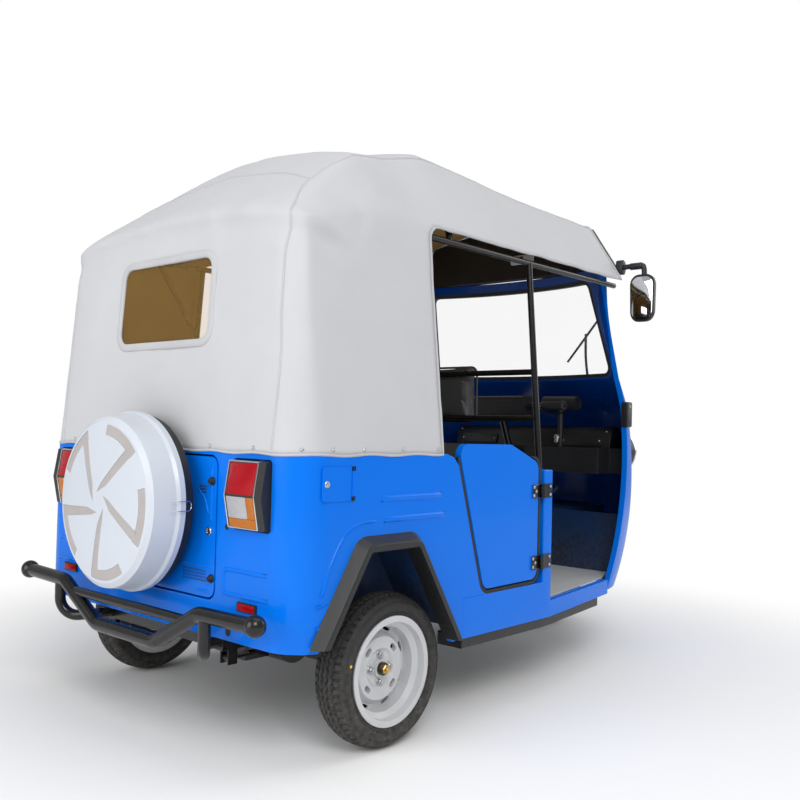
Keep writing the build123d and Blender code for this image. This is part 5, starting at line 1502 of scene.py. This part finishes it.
def build_hatch_details():
    """Lock, rubber stops, vent holes and pressed lines on the rear hatch."""
    x = BODY_REAR_X
    lock = bmesh.new()
    add_lathe(
        lock,
        [
            (-0.001, 0.0125), (0.003, 0.0125), (0.005, 0.0110), (0.005, 0.0085), (0.0035, 0.0080),
            (0.0045, 0.0),
        ],
        (x, -0.306, 0.653), (-1, 0, 0), steps=28,
    )
    add_prism(
        lock, rounded_outline(0.010, 0.0016, 0.0008, 3), (x - 0.0048, -0.306, 0.653), (0, -1, 0),
        (0, 0, 1), -0.0012, 0.0,
    )
    add_piece(lock, "hatch_lock", "hatch", ["chrome"])
    stops = bmesh.new()
    for y, z in ((-0.316, 0.802), (-0.322, 0.514)):
        add_lathe(
            stops,
            [
                (-0.001, 0.013), (0.004, 0.0125), (0.008, 0.009), (0.012, 0.0085), (0.015, 0.006),
                (0.015, 0.0),
            ],
            (x, y, z), (-1, 0, 0), steps=20,
        )
    add_piece(stops, "hatch_stops", "hatch", ["rubber"])
    # The vent holes are dark flat patches on the hatch: painted shade where the holes are.
    holes = bmesh.new()
    for y0, y1, z0, z1 in ((-0.296, -0.177, 0.498, 0.537), (-0.288, -0.251, 0.762, 0.789)):
        columns = round((y1 - y0) / 0.0105)
        rows = round((z1 - z0) / 0.0095)
        for i in range(columns):
            for j in range(rows):
                at = (x - 0.0004, y0 + (i + 0.5) * (y1 - y0) / columns, z0 + (j + 0.5) * (z1 - z0) / rows)
                add_prism(
                    holes, rounded_outline(0.0062, 0.0058, 0.0018, 2), at, (0, -1, 0), (0, 0, 1),
                    -0.0006,
                )
    add_piece(holes, "hatch_vents", "hatch", ["opening_painted_shade"])
    lines = bmesh.new()
    for points in (
        ((-0.250, 0.474), (-0.290, 0.474), (-0.315, 0.474)),
        ((-0.155, 0.548), (-0.302, 0.548), (-0.311, 0.540), (-0.311, 0.500)),
        ((-0.312, 0.845), (-0.312, 0.700), (-0.312, 0.690)),
        ((-0.245, 0.775), (-0.280, 0.745), (-0.300, 0.700)),
        ((0.312, 0.845), (0.312, 0.600), (0.312, 0.480)),
        ((0.10, 0.478), (0.18, 0.478), (0.290, 0.478)),
    ):
        path = smooth_path([(x, y, z) for y, z in points], 8)
        add_ridge(lines, path, (-1, 0, 0), 0.005, 0.0030)
    add_piece(lines, "hatch_pressings", "hatch", ["blue_paint"], 60.0)


LAMP_Y = 0.501
LAMP_INNER = -0.0805
LAMP_OUTER = 0.0505
LAMP_LOW = (0.0185, 0.678)
LAMP_RIDGE = (0.0365, 0.770)
LAMP_HIGH = (0.0205, 0.868)


def build_tail_lamps():
    """Tail lamps with three coloured panes in a bright rim, and red reflector panes below them."""
    bm = bmesh.new()
    x = BODY_REAR_X
    for side in SIDES:
        y = side * LAMP_Y
        add_prism(
            bm, rounded_outline(0.170, 0.208, 0.012, 5, (0.0, 0.7725)), (x, y, 0), (0, -1, 0),
            (0, 0, 1), -0.004, 0.0015, material=0,
        )
        for reach in (LAMP_INNER, LAMP_OUTER):
            edge = y + side * reach
            profile = ((0.002, 0.6745), LAMP_LOW, LAMP_RIDGE, LAMP_HIGH, (0.002, 0.8715))
            path = [(x - depth, edge, z) for depth, z in profile]
            add_tube(bm, path, 0.0022, 8, material=1)
        for depth, z in (LAMP_LOW, LAMP_HIGH):
            ends = [(x - depth, y + side * reach, z) for reach in (LAMP_INNER, LAMP_OUTER)]
            add_tube(bm, ends, 0.0022, 8, material=1)
    add_piece(bm, "tail_lamp_frames", "root", ["black_plastic", "chrome"], 40.0)
    panes = bmesh.new()
    for side in SIDES:
        y = side * LAMP_Y
        slant_low = (Vector((x - 0.0365, 0, 0.770)) - Vector((x - 0.018, 0, 0.677))).normalized()
        slant_high = (Vector((x - 0.020, 0, 0.868)) - Vector((x - 0.036, 0, 0.770))).normalized()
        for slant, start, z_from, z_to, y_from, y_to, material in (
            (slant_high, Vector((x - 0.0365, y, 0.771)), 0.003, 0.094, -0.074, 0.045, 0),
            (slant_low, Vector((x - 0.0185, y, 0.677)), 0.003, 0.028, -0.074, 0.045, 1),
            (slant_low, Vector((x - 0.0185, y, 0.677)), 0.029, 0.092, -0.074, 0.012, 2),
            (slant_low, Vector((x - 0.0185, y, 0.677)), 0.029, 0.092, 0.013, 0.045, 1),
        ):
            outline = rounded_outline(
                y_to - y_from, z_to - z_from, 0.003, 3, ((y_from + y_to) / 2, (z_from + z_to) / 2),
            )
            outline = [(a * side, b) for a, b in outline]
            add_prism(panes, outline, start, (0, 1, 0), slant, 0.0018, 0.0006, material)
        outline = rounded_outline(0.074, 0.020, 0.002, 3, (side * 0.4935, 0.452))
        add_prism(panes, outline, (x - 0.006, 0, 0), (0, 1, 0), (0, 0, 1), -0.0016, 0.0005, 0)
    add_piece(panes, "tail_lamp_panes", "root", ["red_lens", "amber_lens", "white_lens"], 40.0)


ARM_SPOKE = ((22.0, 24.0), (56.0, 16.0), (200.0, -46.0), (206.0, -86.0), (64.0, -14.0))
ARM_HOOK = (206.0, 238.0)
ARM_HOOK_ENDS = (-23.0, 21.0)
ARM_TURN = -7.0


def build_spare_ornament():
    """Grey inlays in the five grooves of the spare wheel's cover, and its spring clip."""
    low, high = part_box("spare_cover")
    middle_z = (low.z + high.z) / 2
    tree = BVHTree.FromObject(NODES["spare_cover"], bpy.context.evaluated_depsgraph_get())
    bm = bmesh.new()

    def strip(rows, turn, lift):
        made = []
        for row in rows:
            line = []
            for a, b in row:
                y = -(a * math.cos(turn) - b * math.sin(turn)) * MM
                z = middle_z + (a * math.sin(turn) + b * math.cos(turn)) * MM
                found = tree.ray_cast(Vector((low.x - 0.2, y, z)), Vector((1, 0, 0)))[0]
                line.append(bm.verts.new((found.x - lift, y, z)))
            made.append(line)
        for a, b in zip(made, made[1:]):
            bridge(bm, a, b, closed=False)

    tip, inner_start, inner_end, outer_end, outer_start = (Vector(p) for p in ARM_SPOKE)
    inset = 0.7
    spoke = []
    for k in range(4):
        share = 0.12 + 0.88 * k / 4
        spoke.append((tip.lerp(inner_start, share), tip.lerp(outer_start, share)))
    for k in range(19):
        spoke.append((inner_start.lerp(inner_end, k / 18), outer_start.lerp(outer_end, k / 18)))
    rows = []
    for a, b in spoke:
        edge = (b - a).normalized() * inset
        rows.append([(a + edge).lerp(b - edge, s / 3) for s in range(4)])
    hook = []
    for k in range(23):
        angle = math.radians(ARM_HOOK_ENDS[0] + 0.3 + (ARM_HOOK_ENDS[1] - ARM_HOOK_ENDS[0] - 0.6) * k / 22)
        radii = [ARM_HOOK[0] + inset + (ARM_HOOK[1] - ARM_HOOK[0] - 2 * inset) * s / 3 for s in range(4)]
        hook.append([(r * math.cos(angle), r * math.sin(angle)) for r in radii])
    for arm in range(5):
        turn = math.radians(72 * arm + ARM_TURN)
        strip(rows, turn, 0.0005)
        strip(hook, turn, 0.0006)
    add_piece(bm, "spare_cover_inlays", "hatch", ["accent_grey"], 40.0)
    clip = bmesh.new()
    path = smooth_path(
        [
            (-1.318, -0.279, 0.742), (-1.296, -0.287, 0.742), (-1.262, -0.2865, 0.742),
            (-1.252, -0.284, 0.734), (-1.252, -0.284, 0.722), (-1.262, -0.2865, 0.714),
            (-1.296, -0.287, 0.714), (-1.318, -0.279, 0.714),
        ],
        6,
    )
    add_tube(clip, path, 0.0014, 8)
    add_piece(clip, "spare_cover_clip", "hatch", ["chrome"], 60.0)


MIRROR_X = 0.7245
MIRROR_Y = 0.709
MIRROR_Z = 1.5535
MIRROR_SECTIONS = (
    # distance behind the glass, share of the outline
    (0.003, 0.90), (-0.001, 0.92), (-0.001, 0.975),
    (0.003, 1.0), (0.020, 0.985), (0.031, 0.91),
    (0.038, 0.76), (0.0405, 0.50), (0.041, 0.0),
)


def build_mirrors():
    """Tapered mirror shells with their glasses, on thick arms at the hood's front corners."""
    shells, glasses = bmesh.new(), bmesh.new()
    for side in SIDES:
        outline = []
        for a, b in rounded_outline(0.118, 0.205, 0.042, 8):
            outline.append((a * (0.93 + 0.34 * b), b))
        rings = []
        for back, share in MIRROR_SECTIONS:
            if share:
                rings.append([
                    shells.verts.new(
                        (MIRROR_X + back, side * MIRROR_Y + a * share, MIRROR_Z + b * share)
                    ) for a, b in outline
                ])
            else:
                rings.append([shells.verts.new((MIRROR_X + back, side * MIRROR_Y, MIRROR_Z))])
        shells.faces.new(rings[0])
        for ring_a, ring_b in zip(rings, rings[1:]):
            bridge(shells, ring_a, ring_b)
        pane = [(side * MIRROR_Y + a * 0.90, MIRROR_Z + b * 0.90) for a, b in outline]
        add_prism(glasses, pane, (MIRROR_X + 0.002, 0, 0), (0, 1, 0), (0, 0, 1), -0.0016, 0.0004)
        path = smooth_path(
            [
                (0.742, side * 0.612, 1.697), (0.742, side * 0.690, 1.697),
                (0.743, side * 0.708, 1.688), (0.744, side * 0.711, 1.640),
            ],
            6,
        )
        add_tube(shells, path, 0.0115, 16)
        arm = [
            (-0.030, 0.0), (-0.030, 0.0125), (-0.027, 0.0150), (0.024, 0.0150), (0.027, 0.0125),
            (0.027, 0.0),
        ]
        add_lathe(shells, arm, (0.742, side * 0.672, 1.696), (0, 1, 0), steps=28)
        foot = (
            (0.0, 0.030), (0.018, 0.020), (0.020, -0.016), (0.010, -0.034), (-0.012, -0.034),
            (-0.020, -0.010), (-0.014, 0.026),
        )
        add_prism(shells, foot, (0.742, side * 0.581, 1.700), (1, 0, 0), (0, 0, 1), -side * 0.034, 0.005)
    add_piece(glasses, "mirror_glasses", "root", ["mirror_glass"])
    shell = add_piece(shells, "mirror_housings", "root", ["black_plastic"], 50.0)
    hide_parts("mirrors")


def build_wiper_blade():
    """Wiper arm and blade in front of the windscreen."""
    bm = bmesh.new()
    arm = smooth_path(
        [(0.996, -0.300, 1.210), (0.984, -0.301, 1.246), (0.930, -0.322, 1.330), (0.866, -0.358, 1.428)],
        8,
    )
    add_tube(bm, arm, 0.0062, 10, squash=0.7)
    low, high = Vector((0.918, -0.232, 1.306)), Vector((0.803, -0.488, 1.520))
    spine = [
        low.lerp(high, k / 12) + Vector((0.872, 0, 0.489)) * 0.007 * math.sin(math.pi * k / 12)
        for k in range(13)
    ]
    add_tube(bm, spine, 0.0055, 8)
    add_tube(bm, [low, low.lerp(high, 0.5), high], 0.0050, 8)
    add_piece(bm, "wiper_blade", "root", ["black_paint"], 50.0)


def build_cab_trim():
    """Interior lamp, lids over the headlamps' backs with their screws, key and pillar clamps."""
    pale, dark, screws = bmesh.new(), bmesh.new(), bmesh.new()
    add_prism(
        pale, rounded_outline(0.126, 0.044, 0.008, 5, (0.0, 1.780)), (0.7195, -0.100, 0),
        (0, -1, 0), (0, 0, 1), 0.016, 0.004,
    )
    add_prism(
        dark, rounded_outline(0.020, 0.026, 0.004, 4, (0.0, 1.780)), (0.7040, -0.100, 0),
        (0, -1, 0), (0, 0, 1), 0.004, 0.001,
    )
    for end in SIDES:
        add_dome(screws, (0.7040, -0.100 + end * 0.054, 1.780), (-1, 0, 0), 0.0032, 0.0016, 12)
    section = (
        (0.935, 0.893), (0.948, 0.968), (0.962, 0.988), (0.985, 0.997), (1.018, 0.997),
        (1.018, 0.893),
    )
    add_prism(dark, section, (0, 0.452, 0), (1, 0, 0), (0, 0, 1), 0.904, 0.006)
    for side in SIDES:
        out = Vector((-0.985, 0, 0.171))
        up = Vector((0.171, 0, 0.985))
        middle = Vector((0.9415, side * 0.300, 0.930))
        add_prism(dark, rounded_outline(0.230, 0.052, 0.014, 6), middle, (0, -1, 0), up, 0.007, 0.003)
        for end in SIDES:
            add_dome(screws, middle + Vector((0, end * 0.098, 0)) + out * 0.007, out, 0.0050, 0.0030, 16)
        add_dome(screws, (0.949 + 0.006, side * 0.425, 0.975), out, 0.0050, 0.0040, 16)
        add_prism(
            dark, rounded_outline(0.046, 0.112, 0.010, 5, (0.826, 1.054)), (0, side * 0.578, 0),
            (1, 0, 0), (0, 0, 1), -side * 0.032, 0.004,
        )
        add_dome(screws, (0.826, side * 0.610, 1.090), (0, side, 0), 0.0060, 0.0035, 16)
    barrel = Vector((0.818, -0.240, 0.946))
    add_lathe(
        screws, [(-0.012, 0.0), (-0.012, 0.0135), (0.004, 0.0135), (0.006, 0.0120), (0.006, 0.0)],
        barrel, (-1, -0.35, 0.1), steps=24,
    )
    add_prism(
        screws, rounded_outline(0.020, 0.034, 0.008, 5), barrel + Vector((-0.010, -0.004, -0.010)),
        (0.3, -0.95, 0), (0.15, 0, 0.99), 0.0025, 0.0008,
    )
    add_piece(pale, "cab_lamp", "root", ["white_plastic"])
    add_piece(dark, "cab_trim", "root", ["black_plastic"], 40.0)
    add_piece(screws, "cab_screws", "root", ["zinc"])


def build_cab_details():
    """Grips, levers, the instrument pod's end cap and the headlamps' rims."""
    bar = bmesh.new()
    for side in SIDES:
        inner = Vector((0.668, side * 0.255, 1.0878))
        outer = Vector((0.6455, side * 0.383, 1.0898))
        axis = (outer - inner).normalized()
        profile = [(0.0, 0.013), (0.0, 0.021), (0.006, 0.021)]
        for k in range(12):
            start = 0.010 + k * 0.0088
            profile += [
                (start, 0.0175), (start + 0.0030, 0.0188), (start + 0.0060, 0.0188),
                (start + 0.0088, 0.0175),
            ]
        profile += [(0.122, 0.021), (0.130, 0.021), (0.132, 0.013), (0.132, 0.0)]
        add_lathe(bar, profile, inner, axis, steps=24)
    add_piece(bar, "handlebar_grips", "steering", ["rubber"])
    levers = bmesh.new()
    for side in SIDES:
        path = smooth_path(
            [
                (0.656, side * 0.246, 1.080), (0.657, side * 0.268, 1.062),
                (0.654, side * 0.320, 1.052), (0.646, side * 0.378, 1.056),
            ],
            8,
        )
        add_tube(levers, path, 0.0060, 10, squash=0.55)
        add_prism(
            levers, rounded_outline(0.044, 0.026, 0.010, 5), (0.652, side * 0.240, 1.087),
            (0, 1, 0), (1, 0, 0), 0.020, 0.004,
        )
    add_piece(levers, "handlebar_levers", "steering", ["black_paint"])
    bezel = bmesh.new()
    for side in SIDES:
        at = (1.190, side * 0.355, 0.880)
        add_lathe(
            bezel,
            [
                (-0.010, 0.101), (0.001, 0.1015), (0.004, 0.0985), (0.004, 0.0925), (-0.006, 0.089),
                (-0.012, 0.091),
            ],
            at, (1, 0, 0), steps=64, closed=True,
        )
    add_piece(bezel, "headlamp_bezels", "root", ["chrome"])
    dial = bmesh.new()
    add_lathe(
        dial, [(-0.002, 0.031), (0.003, 0.031), (0.004, 0.028), (0.0025, 0.026), (0.0025, 0.0)],
        (0.850, -0.330, 1.105), (0, -1, 0), steps=32,
    )
    add_piece(dial, "instrument_end_cap", "root", ["black_plastic"])


# Scene
class StageNumbers:
    """Camera place, turns and lens measured from the photograph, and the floor's half size."""

    camera_at = Vector((-2.8526, -2.5361, 0.9763))
    yaw = math.radians(41.85)
    pitch = math.radians(1.69)
    roll = math.radians(1.35)
    lens = 40.9
    floor_half = 30.0


def build_camera():
    """Camera at the photograph's place."""
    n = StageNumbers
    forward = Vector(
        (math.cos(n.pitch) * math.cos(n.yaw), math.cos(n.pitch) * math.sin(n.yaw), math.sin(n.pitch))
    )
    right = Vector((math.sin(n.yaw), -math.cos(n.yaw), 0))
    up = right.cross(forward)
    cosine, sine = math.cos(n.roll), math.sin(n.roll)
    rolled_right = cosine * right + sine * up
    rolled_up = -sine * right + cosine * up
    data = bpy.data.cameras.new("photo_camera")
    data.lens = n.lens
    data.sensor_width = 36.0
    data.clip_end = 200.0
    camera = bpy.data.objects.new("photo_camera", data)
    rows = zip(rolled_right, rolled_up, -forward, n.camera_at)
    camera.matrix_world = Matrix([list(row) for row in rows] + [[0, 0, 0, 1]])
    bpy.context.scene.collection.objects.link(camera)
    bpy.context.scene.camera = camera


def background_share(tree):
    """1 for rays that see the backdrop: camera and transmission rays."""
    rays = tree.nodes.new("ShaderNodeLightPath")
    return math_node(tree, "MAXIMUM", rays.outputs["Is Camera Ray"], rays.outputs["Is Transmission Ray"])


SKY_LEVEL = 0.42


def build_world():
    """White backdrop with soft sky light of a plain level."""
    world = bpy.data.worlds.new("studio")
    bpy.context.scene.world = world
    world.use_nodes = True
    tree = world.node_tree
    back = tree.nodes["Background"]
    seen = background_share(tree)
    strength = math_node(tree, "ADD", math_node(tree, "MULTIPLY", seen, 1.0 - SKY_LEVEL), SKY_LEVEL)
    tree.links.new(strength, back.inputs["Strength"])
    back.inputs["Color"].default_value = (1.0, 1.0, 1.0, 1.0)


LAMPS = (
    # name, place, aim, size, watts
    ("key_light", (-4.5, -5.5, 5.5), (-0.2, 0.0, 0.8), 3.5, 290.0),
    ("fill_light", (-6.5, 0.8, 2.6), (-0.2, 0.0, 0.8), 4.0, 165.0),
    ("top_light", (0.5, -1.5, 7.5), (0.0, 0.0, 0.5), 6.0, 130.0),
    ("front_light", (6.0, -3.0, 3.5), (0.4, 0.0, 0.9), 4.0, 90.0),
)


def build_lights():
    """Soft area lights round the rickshaw."""
    for name, place, aim, size, watts in LAMPS:
        data = bpy.data.lights.new(name, "AREA")
        data.energy = watts
        data.size = size
        light = bpy.data.objects.new(name, data)
        light.location = place
        light.rotation_euler = (Vector(aim) - Vector(place)).to_track_quat("-Z", "Y").to_euler()
        bpy.context.scene.collection.objects.link(light)


def build_floor():
    """Pale floor that shows white to the camera except for the rickshaw's shadow."""
    bm = bmesh.new()
    half = StageNumbers.floor_half
    corners = ((-half, -half), (half, -half), (half, half), (-half, half))
    bm.faces.new([bm.verts.new((x, y, -0.0005)) for x, y in corners])
    mesh = bpy.data.meshes.new("studio_floor")
    bm.to_mesh(mesh)
    bm.free()
    material = bpy.data.materials.new("pale_floor")
    material.use_nodes = True
    tree = material.node_tree
    shader = tree.nodes["Principled BSDF"]
    position = tree.nodes.new("ShaderNodeTexCoord").outputs["Object"]
    tone = group_node(
        tree, "Surface Tone", position, Colour=(0.93, 0.93, 0.93, 1.0), Second_Colour=(
            0.91, 0.91, 0.91, 1.0,
        ),
        Patch_Scale=0.6, Roughness=0.9, Roughness_Spread=0.02,
    )
    tree.links.new(tone.outputs["Colour"], shader.inputs["Base Color"])
    tree.links.new(tone.outputs["Roughness"], shader.inputs["Roughness"])
    shader.inputs["Specular IOR Level"].default_value = 0.1
    # Away from the rickshaw the camera sees plain white instead of the lit floor
    distance = tree.nodes.new("ShaderNodeVectorMath")
    distance.operation = "LENGTH"
    tree.links.new(position, distance.inputs[0])
    far = tree.nodes.new("ShaderNodeMapRange")
    far.interpolation_type = "SMOOTHSTEP"
    far.inputs["From Min"].default_value = 1.5
    far.inputs["From Max"].default_value = 2.9
    tree.links.new(distance.outputs["Value"], far.inputs["Value"])
    seen = background_share(tree)
    white = tree.nodes.new("ShaderNodeEmission")
    white.inputs["Strength"].default_value = 1.0
    share = tree.nodes.new("ShaderNodeMixShader")
    tree.links.new(math_node(tree, "MULTIPLY", far.outputs["Result"], seen), share.inputs[0])
    tree.links.new(shader.outputs[0], share.inputs[1])
    tree.links.new(white.outputs[0], share.inputs[2])
    tree.links.new(share.outputs[0], tree.nodes["Material Output"].inputs["Surface"])
    mesh.materials.append(material)
    floor = bpy.data.objects.new("studio_floor", mesh)
    bpy.context.scene.collection.objects.link(floor)


def build_stage():
    """Camera, lights, backdrop and floor."""
    scene = bpy.context.scene
    scene.view_settings.view_transform = "Standard"
    build_world()
    build_camera()
    build_lights()
    build_floor()


class MakeMaterials(bpy.types.Operator):
    """Makes every finish, gives it to the frame's nodes and eases their edges."""

    bl_idname = "rickshaw.materials"
    bl_label = "Finishes"

    def execute(self, context):
        make_materials()
        finish_nodes()
        return {"FINISHED"}


class BuildWheels(bpy.types.Operator):
    """Builds the treaded tyres, wheel nuts, hub nuts, brake drums and valves."""

    bl_idname = "rickshaw.wheels"
    bl_label = "Wheels"

    def execute(self, context):
        for tyre, rim, body, side, rear in WHEELS:
            build_tyre(tyre, body)
            build_wheel_trim(rim.replace("rim", "wheel_nuts"), body, rim, side, rear)
        return {"FINISHED"}


class BuildHood(bpy.types.Operator):
    """Builds the canvas hood with its seams, border, binding and studs."""

    bl_idname = "rickshaw.hood"
    bl_label = "Canvas Hood"

    def execute(self, context):
        build_hood()
        return {"FINISHED"}


class BuildSeats(bpy.types.Operator):
    """Builds the padded driver's seat and passenger bench."""

    bl_idname = "rickshaw.seats"
    bl_label = "Seats"

    def execute(self, context):
        build_seats()
        return {"FINISHED"}


class BuildBodyDetails(bpy.types.Operator):
    """Builds pressings, hinge bolts, hatch details, tail lamps and the spare cover's inlays."""

    bl_idname = "rickshaw.body_details"
    bl_label = "Body Details"

    def execute(self, context):
        build_side_details()
        build_hinge_bolts()
        build_hatch_details()
        build_tail_lamps()
        build_spare_ornament()
        return {"FINISHED"}


class BuildCabDetails(bpy.types.Operator):
    """Builds the driver's controls, cab trim, mirrors, wiper blade and headlamp rims."""

    bl_idname = "rickshaw.cab_details"
    bl_label = "Cab Details"

    def execute(self, context):
        build_cab_details()
        build_cab_trim()
        build_mirrors()
        build_wiper_blade()
        return {"FINISHED"}


class BuildStage(bpy.types.Operator):
    """Builds the camera, soft lights, white backdrop and pale floor."""

    bl_idname = "rickshaw.stage"
    bl_label = "Stage"

    def execute(self, context):
        build_stage()
        return {"FINISHED"}


OPERATORS = (
    MakeMaterials, BuildWheels, BuildHood, BuildSeats, BuildBodyDetails, BuildCabDetails,
    BuildStage,
)


class RickshawPanel(bpy.types.Panel):
    """Lists the rickshaw's settings and build steps."""

    bl_idname = "VIEW3D_PT_rickshaw"
    bl_label = "Rickshaw"
    bl_space_type = "VIEW_3D"
    bl_region_type = "UI"
    bl_category = "Rickshaw"

    def draw(self, context):
        chosen = context.scene.rickshaw
        for label in chosen.bl_rna.properties.keys():
            if label not in ("rna_type", "name"):
                self.layout.prop(chosen, label)
        for operator in OPERATORS:
            self.layout.operator(operator.bl_idname)


CLASSES = (RickshawSettings, *OPERATORS, RickshawPanel)


def register():
    """Registers the settings, operators and panel."""
    for cls in CLASSES:
        bpy.utils.register_class(cls)
    bpy.types.Scene.rickshaw = bpy.props.PointerProperty(type=RickshawSettings)


def unregister():
    """Removes what register added."""
    del bpy.types.Scene.rickshaw
    for cls in reversed(CLASSES):
        bpy.utils.unregister_class(cls)


def main():
    """Builds everything in order."""
    register()
    bpy.ops.rickshaw.materials()
    bpy.ops.rickshaw.wheels()
    bpy.ops.rickshaw.hood()
    bpy.ops.rickshaw.seats()
    bpy.ops.rickshaw.body_details()
    bpy.ops.rickshaw.cab_details()
    bpy.ops.rickshaw.stage()


if __name__ == "__main__":
    main()
